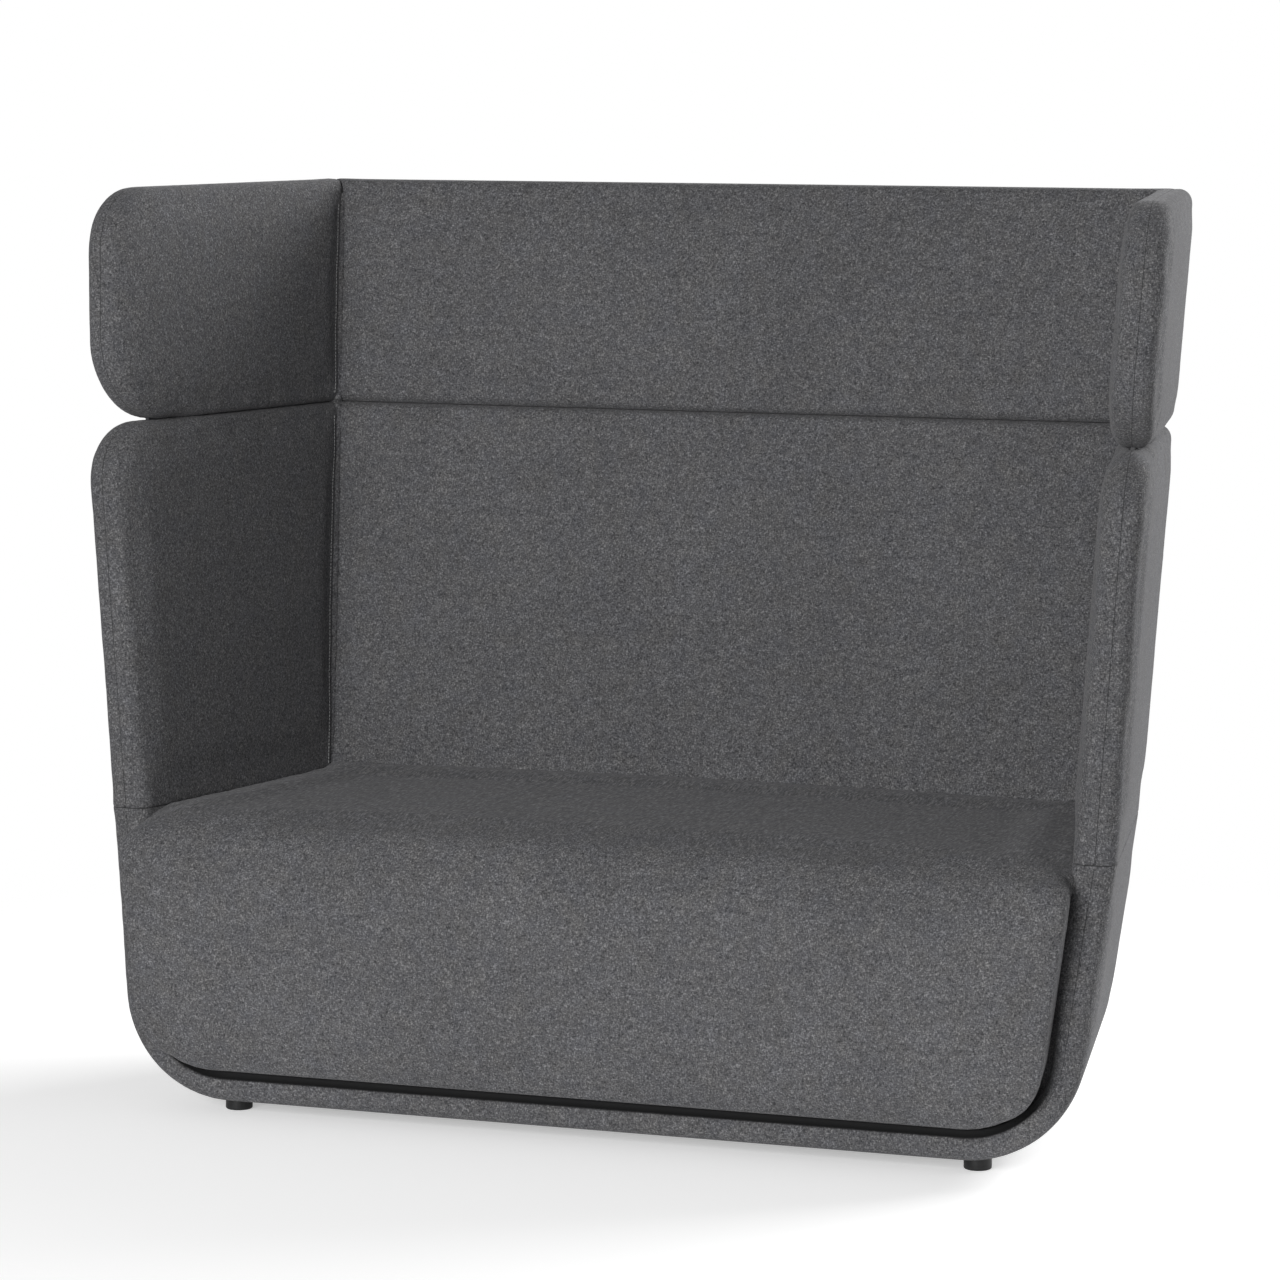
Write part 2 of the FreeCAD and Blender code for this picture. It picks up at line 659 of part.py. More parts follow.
PLATE_SCREW_ROOM = plate_screws(SCREW_GAP, 2.0)
for name, p in FEET.items():
    puck = rod(Vector(p.x, p.y, 0), Vector(0, 0, 1), FOOT_TOP_Z, FOOT_DIAMETER)
    rims = [e for e in puck.Edges if len(e.Vertexes) == 1]
    puck = puck.makeFillet(FOOT_EDGE_RADIUS, [e for e in rims if e.CenterOfMass.z < FOOT_TOP_Z / 2.0])
    stud_low = Vector(p.x, p.y, FOOT_TOP_Z - STUD_IN_FOOT)
    puck = puck.cut(rod(stud_low, Vector(0, 0, 1), STUD_IN_FOOT + SPARE, STUD_DIAMETER + 2 * SCREW_GAP))
    save("foot_" + name, puck)
    save("foot_stud_" + name, rod(stud_low, Vector(0, 0, 1), STUD_LENGTH, STUD_DIAMETER))

plates = []
for p in FEET.values():
    plate = rod(Vector(p.x, p.y, PLATE_Z), Vector(0, 0, 1), PLATE_STEEL, PLATE_DIAMETER)
    boss = rod(Vector(p.x, p.y, PLATE_Z), Vector(0, 0, 1), PLATE_STEEL + BOSS_HEIGHT, BOSS_DIAMETER)
    bore = rod(Vector(p.x, p.y, 0), Vector(0, 0, 1), FAR, STUD_DIAMETER + 2 * STUD_GAP)
    plates.append(cut_all(plate.fuse(boss).removeSplitter(), [bore] + PLATE_SCREW_ROOM))
save("foot_plates", Part.makeCompound(plates))
save("foot_plate_screws", Part.makeCompound(plate_screws(0.0, 0.0)))

# Tub pieces
floor_front = ARM_FRONT_Y + CORE_INSET
FLOOR_REAR_Y = min(back_place(z, CORE_IN) for z in (FLOOR_BOARD_Z, BOX_Z)) - BOARD_GAP
FLOOR_PLACE = arc_place(CORE_IN) - BOARD_GAP


def floor_slab(grow):
    """Floor board on the side frames' legs, its front edge held in the padded lip."""
    low = FLOOR_BOARD_Z - grow
    plan = box_plan(FLOOR_PLACE + grow, floor_front - grow, FLOOR_REAR_Y + grow)
    return upright(plan, low, FLOOR_BOARD_Z + CORE_BOARD + grow)


def floor_screws(grow):
    """Screws through the floor board into the legs of the side frames."""
    screws = []
    place = (LEG_PLACE + FLOOR_PLACE) / 2.0
    for y in FLOOR_SCREW_Y:
        p = side_spot(place, y)
        start = Vector(p.x, p.y, FLOOR_BOARD_Z + CORE_BOARD - FLOOR_SCREW_LENGTH - grow)
        screw = rod(start, Vector(0, 0, 1), FLOOR_SCREW_LENGTH + 2 * grow, FLOOR_SCREW + 2 * grow)
        screws += [screw, mirrored(screw)]
    return screws


STUD_ROOM = [rod(Vector(p.x, p.y, 0), Vector(0, 0, 1), LEG_TOP_Z + STUD_LENGTH, BOSS_DIAMETER + 2 * PAD_GAP)
             for p in FEET.values()]
FRAME_CUTS = BAR_ROOM + BAR_SCREW_ROOM + BRACKET_SCREW_ROOM + floor_screws(SCREW_GAP)
FRAME_CUTS += boss_holes(PAD_GAP) + PLATE_SCREW_ROOM
side_frame = cut_all(core_space.common(right_region(LEG_PLACE)), FRAME_CUTS)
save("tub_frame_right", side_frame)
save("tub_frame_left", mirrored(side_frame))
save("tub_frame_back", cut_all(core_space.common(back_region()), FRAME_CUTS))

pad_cuts = [core_room, floor_slab(PAD_GAP)] + HARDWARE_ROOM + foot_holes(FOOT_HOLE_GAP, PAD_GAP)
pad_cuts += boss_holes(PAD_GAP) + PLATE_SCREW_ROOM
outer_shell = tub.cut(mid_outside)
side_pad = cut_all(outer_shell.common(right_region(LEG_PLACE)), pad_cuts)
save("tub_outer_pad_right", side_pad)
save("tub_outer_pad_left", mirrored(side_pad))
save("tub_outer_pad_back", cut_all(outer_shell.common(back_region()), pad_cuts))

roll_rear = [(tub_front(z) + ROLL_DEPTH, z, 0) for z in (FAR, 0)]
roll_zone = across([(-FAR, 0, 0), (-FAR, FAR, 0)] + roll_rear)
edge_roll = tub.common(mid_inside).common(roll_zone).common(right_region(LEG_PLACE))
edge_roll = cut_all(edge_roll, pad_cuts + STUD_ROOM)
save("tub_edge_roll_right", edge_roll)
save("tub_edge_roll_left", mirrored(edge_roll))
lip = tub.common(roll_zone).common(between_legs(LEG_PLACE - PAD_GAP, -FAR, FAR))
save("tub_lip_pad", cut_all(lip, [core_room, floor_slab(PAD_GAP)]))

# Seat box, deck and cushion
BOX_FRONT_Y = tub_front(FLOOR_TOP_Z) + ROLL_DEPTH + SPARE / 2.0
BOX_PLACE = arc_place(CORE_IN) - BOX_SIDE_INSET
SEAT_LOW_Z = FLOOR_TOP_Z + PAD_GAP


def seat_block():
    """Upholstered block: the tub's inside carried forward, with a crowned top and a rounded nose."""
    top = SEAT_EDGE_Z + SEAT_CROWN + SPARE
    half = cradle_half(-SEAT_SIDE_GAP, top)
    block = half.common(mirrored(half))
    nose_top = SEAT_FRONT_Y + (top - SEAT_LOW_Z) * slope(SEAT_FRONT_LEAN)
    rear_low = back_place(SEAT_LOW_Z, -SEAT_BACK_GAP)
    rear_top = INNER_BACK_Y + (top - TIER_SEAM_Z) * slope(TUB_BACK_LEAN) - SEAT_BACK_GAP
    block = block.common(across([(SEAT_FRONT_Y, SEAT_LOW_Z, 0), (nose_top, top, 0), (rear_top, top, 0),
                                 (rear_low, SEAT_LOW_Z, 0)]))
    edge = INNER_HALF_WIDTH
    low_right = Vector(FAR, -FAR, 0)
    crown_right = Vector(edge, -FAR, SEAT_EDGE_Z)
    crown_top = Vector(0, -FAR, SEAT_EDGE_Z + SEAT_CROWN)
    out_right = Vector(FAR, -FAR, SEAT_EDGE_Z - 2.0 * SEAT_CROWN)
    edges = [line(flipped(low_right), low_right), line(low_right, out_right), line(out_right, crown_right)]
    edges.append(arc(crown_right, crown_top, flipped(crown_right)))
    edges.append(line(flipped(crown_right), flipped(out_right)))
    edges.append(line(flipped(out_right), flipped(low_right)))
    return block.common(Part.Face(Part.Wire(edges)).extrude(Vector(0, 2 * FAR, 0)))


def seat_nose(z):
    return SEAT_FRONT_Y + (z - SEAT_LOW_Z) * slope(SEAT_FRONT_LEAN)


def nose_edge(edge):
    points = edge_points(edge)
    return on_plane_y(points, seat_nose) and points[1].z > SEAT_EDGE_Z - 1.0


def seat_rim(edge):
    """Edges round the front face and along both sides of the top."""
    points = edge_points(edge)
    nose = on_plane_y(points, seat_nose)
    along = abs(points[0].y - points[2].y)
    at_side = min(side_depth(Vector(abs(p.x), p.y, p.z)) for p in points) > -SEAT_SIDE_GAP - 3.0
    top_side = at_side and points[1].z > SEAT_EDGE_Z - SEAT_NOSE_RADIUS - SPARE and along > 5.0
    return nose and points[1].z < SEAT_EDGE_Z - SEAT_NOSE_RADIUS * 0.5 or top_side


seat = softened(seat_block(), nose_edge, SEAT_NOSE_RADIUS)
seat = softened(seat, seat_rim, SEAT_EDGE_RADIUS)

box_top = DECK_Z - BOARD_GAP
sides = upright(box_plan(BOX_PLACE, BOX_FRONT_Y, BOX_REAR_Y), BOX_Z, box_top)
sides = sides.cut(upright(box_plan(BOX_PLACE - BOX_BOARD / math.cos(SPLAY), -FAR, FAR), BOX_Z - SPARE, FAR))
side_right = max(sides.Solids, key=lambda s: s.CenterOfMass.x)
inner_place = BOX_PLACE - BOX_BOARD / math.cos(SPLAY) - BOARD_GAP
inner_plan = upright(box_plan(inner_place, -FAR, FAR), BOX_Z, box_top)
front_zone = upright(box_plan(FAR, BOX_FRONT_Y, BOX_FRONT_Y + BOX_BOARD), BOX_Z, box_top)
rear_zone = upright(box_plan(FAR, BOX_REAR_Y - BOX_BOARD, BOX_REAR_Y), BOX_Z, box_top)
divider_front = BOX_FRONT_Y + BOX_BOARD + BOARD_GAP
divider_rear = BOX_REAR_Y - BOX_BOARD - BOARD_GAP
divider = Part.makeBox(BOX_BOARD, divider_rear - divider_front, box_top - BOX_Z,
                       Vector(-BOX_BOARD / 2.0, divider_front, BOX_Z))

block_place = inner_place - BOARD_GAP - CORNER_BLOCK / 2.0
block_points = [side_spot(block_place, divider_front + CORNER_BLOCK / 2.0 + 5.0),
                side_spot(block_place, divider_rear - CORNER_BLOCK / 2.0 - 5.0)]
block_points += [flipped(p) for p in block_points]


def corner_block(p):
    """Beech block in a corner of the seat box, square to the side board it is glued to."""
    turn = SIDE_NORMAL if p.x > 0 else flipped(SIDE_NORMAL)
    run = SIDE_RUN if p.x > 0 else flipped(SIDE_RUN)
    half = CORNER_BLOCK / 2.0
    plan = [p + turn * half + run * half, p + turn * half - run * half,
            p - turn * half - run * half, p - turn * half + run * half]
    return upright(plan, BOX_Z, box_top)


def seat_bolts(grow):
    start_z = FLOOR_BOARD_Z + 1.0 - grow
    length = SEAT_BOLT_LENGTH + 2 * grow
    width = SEAT_BOLT + 2 * grow
    return [rod(Vector(p.x, p.y, start_z), Vector(0, 0, 1), length, width) for p in block_points]


bolt_room = seat_bolts(SCREW_GAP)
save("tub_floor_board", cut_all(floor_slab(0.0), floor_screws(SCREW_GAP) + bolt_room + STUD_ROOM))
save("floor_screws", Part.makeCompound(floor_screws(0.0)))
save("seat_bolts", Part.makeCompound(seat_bolts(0.0)))
save("seat_corner_blocks", Part.makeCompound([cut_all(corner_block(p), bolt_room) for p in block_points]))
save("seat_box_side_right", cut_all(side_right, STUD_ROOM))
save("seat_box_side_left", mirrored(cut_all(side_right, STUD_ROOM)))
save("seat_box_front", front_zone.common(inner_plan))
save("seat_box_rear", rear_zone.common(inner_plan))
save("seat_box_divider", divider)

DECK_PLACE = side_place(DECK_Z, -DECK_EDGE_FOAM)
DECK_FRONT_Y = BOX_FRONT_Y - DECK_EDGE_FOAM
DECK_REAR_Y = BOX_REAR_Y + DECK_BOARD
deck = upright(box_plan(DECK_PLACE, DECK_FRONT_Y, DECK_REAR_Y), DECK_Z, DECK_Z + DECK_BOARD)
hole_pitch_x = 2.0 * corner(DECK_Z, -2.0 * DECK_EDGE_FOAM).x / DECK_HOLE_COLUMNS
hole_pitch_y = (BOX_REAR_Y - BOX_FRONT_Y) / DECK_HOLE_ROWS
vents = []
for row in range(DECK_HOLE_ROWS):
    for column in range(DECK_HOLE_COLUMNS):
        hole_x = (column - (DECK_HOLE_COLUMNS - 1) / 2.0) * hole_pitch_x
        hole_y = BOX_FRONT_Y + (row + 0.5) * hole_pitch_y
        vents.append(rod(Vector(hole_x, hole_y, DECK_Z - SPARE), Vector(0, 0, 1), 4 * SPARE, DECK_HOLE))
save("seat_deck", cut_all(deck, vents))

box_room = upright(box_plan(BOX_PLACE + PAD_GAP, BOX_FRONT_Y - PAD_GAP, BOX_REAR_Y + PAD_GAP), 0, DECK_Z)
deck_room = upright(box_plan(DECK_PLACE + PAD_GAP, DECK_FRONT_Y - PAD_GAP, DECK_REAR_Y + PAD_GAP),
                    DECK_Z - PAD_GAP, DECK_Z + DECK_BOARD + PAD_GAP)
save("seat_cushion", cut_all(seat, [box_room, deck_room]))

# Black cloth stapled under the side frames' legs
cover_top = LEG_BOTTOM_Z - BOARD_GAP
cover = between_legs(LEG_PLACE - PAD_GAP, tub_front(LEG_BOTTOM_Z) + ROLL_DEPTH + PAD_GAP,
                     FLOOR_TURN_Y - PAD_GAP)
cover = cover.common(upright([Vector(-FAR, -FAR, 0), Vector(FAR, -FAR, 0), Vector(FAR, FAR, 0),
                              Vector(-FAR, FAR, 0)], cover_top - DUST_COVER, cover_top))
save("dust_cover", cover)
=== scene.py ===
import json
import math

import bpy
import numpy as np
from mathutils import Matrix, Vector
from mathutils.kdtree import KDTree

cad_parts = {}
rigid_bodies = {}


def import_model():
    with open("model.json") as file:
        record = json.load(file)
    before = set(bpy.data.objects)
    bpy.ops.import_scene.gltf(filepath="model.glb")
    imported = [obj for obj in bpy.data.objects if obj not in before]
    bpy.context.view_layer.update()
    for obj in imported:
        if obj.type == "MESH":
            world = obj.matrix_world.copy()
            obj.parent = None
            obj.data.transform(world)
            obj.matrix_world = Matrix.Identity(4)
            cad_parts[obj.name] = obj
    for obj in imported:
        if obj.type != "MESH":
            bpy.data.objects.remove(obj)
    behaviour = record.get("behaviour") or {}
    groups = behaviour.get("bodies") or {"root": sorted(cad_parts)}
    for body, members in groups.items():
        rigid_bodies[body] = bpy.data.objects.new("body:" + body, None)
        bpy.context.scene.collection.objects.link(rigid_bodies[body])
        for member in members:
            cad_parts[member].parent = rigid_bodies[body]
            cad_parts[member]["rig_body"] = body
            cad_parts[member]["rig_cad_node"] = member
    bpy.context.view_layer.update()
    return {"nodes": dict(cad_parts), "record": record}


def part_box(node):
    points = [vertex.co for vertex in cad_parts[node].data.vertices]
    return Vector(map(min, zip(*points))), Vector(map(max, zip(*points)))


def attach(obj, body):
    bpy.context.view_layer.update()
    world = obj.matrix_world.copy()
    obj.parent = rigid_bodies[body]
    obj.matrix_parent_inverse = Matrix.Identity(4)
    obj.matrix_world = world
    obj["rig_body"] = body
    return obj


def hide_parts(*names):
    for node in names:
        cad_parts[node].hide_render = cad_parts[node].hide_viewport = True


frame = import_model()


# Levelling feet.
# Four short black plastic pucks on threaded studs. Each is turned from a plain cylinder with a rounded
# lower edge and a slightly hollow sole, and its upper half sits in a hole in the tub's underside.
FOOT_SIDES = 64
FOOT_SOLE_EDGE = 0.003
FOOT_SOLE_RIM = 0.004
FOOT_SOLE_HOLLOW = 0.0008
FOOT_TOP_EDGE = 0.0006
FOOT_PICK = 1e-5              # an edge this near to an end belongs to it


def start_piece(name):
    """Names a fresh primitive and its mesh."""
    piece = bpy.context.object
    piece.name = name
    piece.data.name = name
    return piece


def apply_place(piece):
    bpy.ops.object.select_all(action="DESELECT")
    piece.select_set(True)
    bpy.context.view_layer.objects.active = piece
    bpy.ops.object.transform_apply(location=True, rotation=True, scale=True)


def pick_edges(piece, wanted):
    """Selects, in edit mode, the edges whose two ends both pass a test of place."""
    bpy.ops.mesh.select_mode(type="EDGE")
    bpy.ops.mesh.select_all(action="DESELECT")
    bpy.ops.object.mode_set(mode="OBJECT")
    corners = piece.data.vertices
    for edge in piece.data.edges:
        edge.select = all(wanted(corners[i].co) for i in edge.vertices)
    bpy.ops.object.mode_set(mode="EDIT")


def pick_faces(piece, wanted):
    """Selects, in edit mode, the faces whose middle and normal pass a test."""
    bpy.ops.mesh.select_mode(type="FACE")
    bpy.ops.mesh.select_all(action="DESELECT")
    bpy.ops.object.mode_set(mode="OBJECT")
    for face in piece.data.polygons:
        face.select = wanted(face.center, face.normal)
    bpy.ops.object.mode_set(mode="EDIT")


def black_foot_plastic():
    """Moulded black plastic: fine spark texture, faint colour drift, slight polish where it is handled."""
    finish = bpy.data.materials.new("black_foot_plastic")
    finish.use_nodes = True
    nodes, links = finish.node_tree.nodes, finish.node_tree.links
    shader = nodes["Principled BSDF"]
    place = nodes.new("ShaderNodeTexCoord")
    spark = nodes.new("ShaderNodeTexNoise")
    spark.inputs["Scale"].default_value = 2600.0
    spark.inputs["Detail"].default_value = 2.0
    drift = nodes.new("ShaderNodeTexNoise")
    drift.inputs["Scale"].default_value = 70.0
    links.new(place.outputs["Object"], spark.inputs["Vector"])
    links.new(place.outputs["Object"], drift.inputs["Vector"])
    tone = nodes.new("ShaderNodeValToRGB")
    tone.color_ramp.elements[0].color = (0.006, 0.006, 0.0065, 1)
    tone.color_ramp.elements[1].color = (0.016, 0.016, 0.017, 1)
    links.new(drift.outputs["Fac"], tone.inputs["Fac"])
    links.new(tone.outputs["Color"], shader.inputs["Base Color"])
    polish = nodes.new("ShaderNodeMapRange")
    polish.inputs["To Min"].default_value = 0.3
    polish.inputs["To Max"].default_value = 0.46
    links.new(drift.outputs["Fac"], polish.inputs["Value"])
    links.new(polish.outputs["Result"], shader.inputs["Roughness"])
    bump = nodes.new("ShaderNodeBump")
    bump.inputs["Strength"].default_value = 0.18
    bump.inputs["Distance"].default_value = 0.0002
    links.new(spark.outputs["Fac"], bump.inputs["Height"])
    links.new(bump.outputs["Normal"], shader.inputs["Normal"])
    return finish


foot_plastic = black_foot_plastic()
for corner in ("front_left", "front_right", "rear_left", "rear_right"):
    node = "foot_" + corner
    low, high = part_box(node)
    radius = (high.x - low.x) / 2
    middle = (low + high) / 2
    bpy.ops.object.select_all(action="DESELECT")
    bpy.ops.mesh.primitive_cylinder_add(vertices=FOOT_SIDES, radius=radius, depth=high.z - low.z,
                                        location=middle)
    foot = start_piece("levelling_foot_" + corner)
    apply_place(foot)
    bpy.ops.object.mode_set(mode="EDIT")
    pick_edges(foot, lambda co: co.z < low.z + FOOT_PICK)
    bpy.ops.mesh.bevel(offset=FOOT_SOLE_EDGE, segments=5, profile=0.5)
    pick_edges(foot, lambda co: co.z > high.z - FOOT_PICK)
    bpy.ops.mesh.bevel(offset=FOOT_TOP_EDGE, segments=2, profile=0.5)
    pick_faces(foot, lambda co, n: n.z < -0.99)
    bpy.ops.mesh.inset(thickness=FOOT_SOLE_RIM)
    bpy.ops.mesh.inset(thickness=FOOT_SOLE_HOLLOW)
    bpy.ops.transform.translate(value=(0, 0, FOOT_SOLE_HOLLOW))
    bpy.ops.object.mode_set(mode="OBJECT")
    bpy.ops.object.shade_smooth_by_angle(angle=math.radians(35))
    foot.data.materials.clear()
    foot.data.materials.append(foot_plastic)
    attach(foot, "foot_body_" + corner)
    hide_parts(node)


# Boards, blocks and fittings inside the upholstery.
# Birch plywood cores, tub frames, seat box and deck, beech corner blocks, black-coated joint bars and
# brackets, zinc-plated screws and studs. They stay as built and get their raw finishes.
def raw_wood(name, pale, dark, grain):
    """Wood with growth lines drawn out along one axis and a fine open pore."""
    finish = bpy.data.materials.new(name)
    finish.use_nodes = True
    nodes, links = finish.node_tree.nodes, finish.node_tree.links
    shader = nodes["Principled BSDF"]
    place = nodes.new("ShaderNodeTexCoord")
    along = nodes.new("ShaderNodeMapping")
    along.inputs["Scale"].default_value = grain
    lines = nodes.new("ShaderNodeTexNoise")
    lines.inputs["Scale"].default_value = 14.0
    lines.inputs["Detail"].default_value = 6.0
    lines.inputs["Distortion"].default_value = 0.6
    links.new(place.outputs["Object"], along.inputs["Vector"])
    links.new(along.outputs["Vector"], lines.inputs["Vector"])
    tone = nodes.new("ShaderNodeValToRGB")
    tone.color_ramp.elements[0].position = 0.35
    tone.color_ramp.elements[0].color = (*dark, 1)
    tone.color_ramp.elements[1].position = 0.68
    tone.color_ramp.elements[1].color = (*pale, 1)
    links.new(lines.outputs["Fac"], tone.inputs["Fac"])
    links.new(tone.outputs["Color"], shader.inputs["Base Color"])
    bump = nodes.new("ShaderNodeBump")
    bump.inputs["Strength"].default_value = 0.2
    bump.inputs["Distance"].default_value = 0.0004
    links.new(lines.outputs["Fac"], bump.inputs["Height"])
    links.new(bump.outputs["Normal"], shader.inputs["Normal"])
    shader.inputs["Roughness"].default_value = 0.66
    return finish


def bare_metal(name, pale, dark, metal, rough):
    """Coated or plated steel with cloudy tone and fine scratches."""
    finish = bpy.data.materials.new(name)
    finish.use_nodes = True
    nodes, links = finish.node_tree.nodes, finish.node_tree.links
    shader = nodes["Principled BSDF"]
    place = nodes.new("ShaderNodeTexCoord")
    cloud = nodes.new("ShaderNodeTexNoise")
    cloud.inputs["Scale"].default_value = 160.0
    cloud.inputs["Detail"].default_value = 5.0
    links.new(place.outputs["Object"], cloud.inputs["Vector"])
    tone = nodes.new("ShaderNodeValToRGB")
    tone.color_ramp.elements[0].color = (*dark, 1)
    tone.color_ramp.elements[1].color = (*pale, 1)
    links.new(cloud.outputs["Fac"], tone.inputs["Fac"])
    links.new(tone.outputs["Color"], shader.inputs["Base Color"])
    spread = nodes.new("ShaderNodeMapRange")
    spread.inputs["To Min"].default_value = rough - 0.08
    spread.inputs["To Max"].default_value = rough + 0.08
    links.new(cloud.outputs["Fac"], spread.inputs["Value"])
    links.new(spread.outputs["Result"], shader.inputs["Roughness"])
    shader.inputs["Metallic"].default_value = metal
    return finish


hidden_finishes = {
    "plywood": raw_wood("birch_plywood", (0.66, 0.51, 0.34), (0.50, 0.36, 0.21), (0.6, 3.0, 3.0)),
    "beech": raw_wood("beech_block", (0.64, 0.46, 0.31), (0.52, 0.35, 0.22), (3.0, 3.0, 0.5)),
    "coated_steel": bare_metal("black_coated_steel", (0.05, 0.05, 0.055), (0.03, 0.03, 0.033), 0.0, 0.45),
    "zinc_steel": bare_metal("zinc_plated_steel", (0.68, 0.69, 0.70), (0.52, 0.53, 0.55), 1.0, 0.36),
}
slot_of_node = {entry["node"]: entry["material_slot"] for entry in frame["record"]["subparts"]}
for node, part in frame["nodes"].items():
    if slot_of_node[node] in hidden_finishes:
        part.data.materials.clear()
        part.data.materials.append(hidden_finishes[slot_of_node[node]])


# Tub cover.
# Charcoal wool felt drawn over foam on the bent tub: it wraps both walls, the floor's front lip and the rims,
# and its outer and inner halves are sewn together along the middle of the front edge.
FELT_GRAIN = 0.0046           # finest step of a cover's surface
TUB_GRAIN = 0.0048
SEAM_HALF_WIDTH = 0.00045
SEAM_DRAW = 0.0006            # how far a seam pulls the felt in
SEAM_SPREAD = 0.004
LEVEL_SEAM_REACH = 0.008
LEVEL_SEAM_FINENESS = 5.0     # the seam between the tiers is finer and fainter
LEVEL_SEAM_FAINTNESS = 0.00042
SWELL_GRAIN = 0.016
SWELL_PRESSURE = 4.0
SWELL_FRAMES = 20
SWELL_NEIGHBOURS = 5          # coarse points that move a fine one
SWELL_BLEND = 0.002
MERGE_WITHIN = 0.00002
COVER_ROUNDS = 3              # how far a whole cover is smoothed
WALL_MIDDLE = 0.031           # from the inner face to the sewn middle of a wall
SPLAY = math.radians(11.5)    # the sides open towards the front
SIDE_START = 0.63948          # inner face of a side on the tier seam, square to the side
TIER_SEAM = 0.445
ARM_LEAN = math.tan(math.radians(3.9))
TUB_LEAN = math.tan(math.radians(8.0))
TUB_FLOOR = 0.083
TUB_TURN = 0.112              # inside radius from the tub's side to its floor
NO_SEAM = 1.0
RIM_ROUNDS = 26               # how far the foam rounds a free rim
RIM_START, RIM_RUN = 0.17, 0.06             # forward of the middle, where a free rim begins
RIM_SEAM_START, RIM_SEAM_RUN = 0.004, 0.02  # and away from the tier seam
HELD_START, HELD_RUN = 0.01, 0.06           # felt is held at the tier seam and swells away from it
TUB_FREE_HEIGHT = 0.15
TUB_SEAM_END = 0.10
LIP_DROP = 0.020              # the padded lip lies this far below the seat
LIP_START, LIP_RUN = 0.288, 0.014           # it is in front of the boards
LIP_TOP, LIP_TOP_RUN = 0.32, 0.18
LIP_INSIDE = -0.20
BARE_WALL_DEPTH = -0.004
BARE_WALL_COVER = 0.0016      # felt over the bare inner walls
GAP_SHADE_START, GAP_SHADE_RUN = 0.009, 0.005     # painted shade: near-black colour on the lip deep in the gap under the seat, where the seat's shade falls
GAP_SHADE_TOP, GAP_SHADE_TOP_RUN = 0.15, 0.05
SEWN_LAP = 0.06
BACK_GRAIN = 0.006


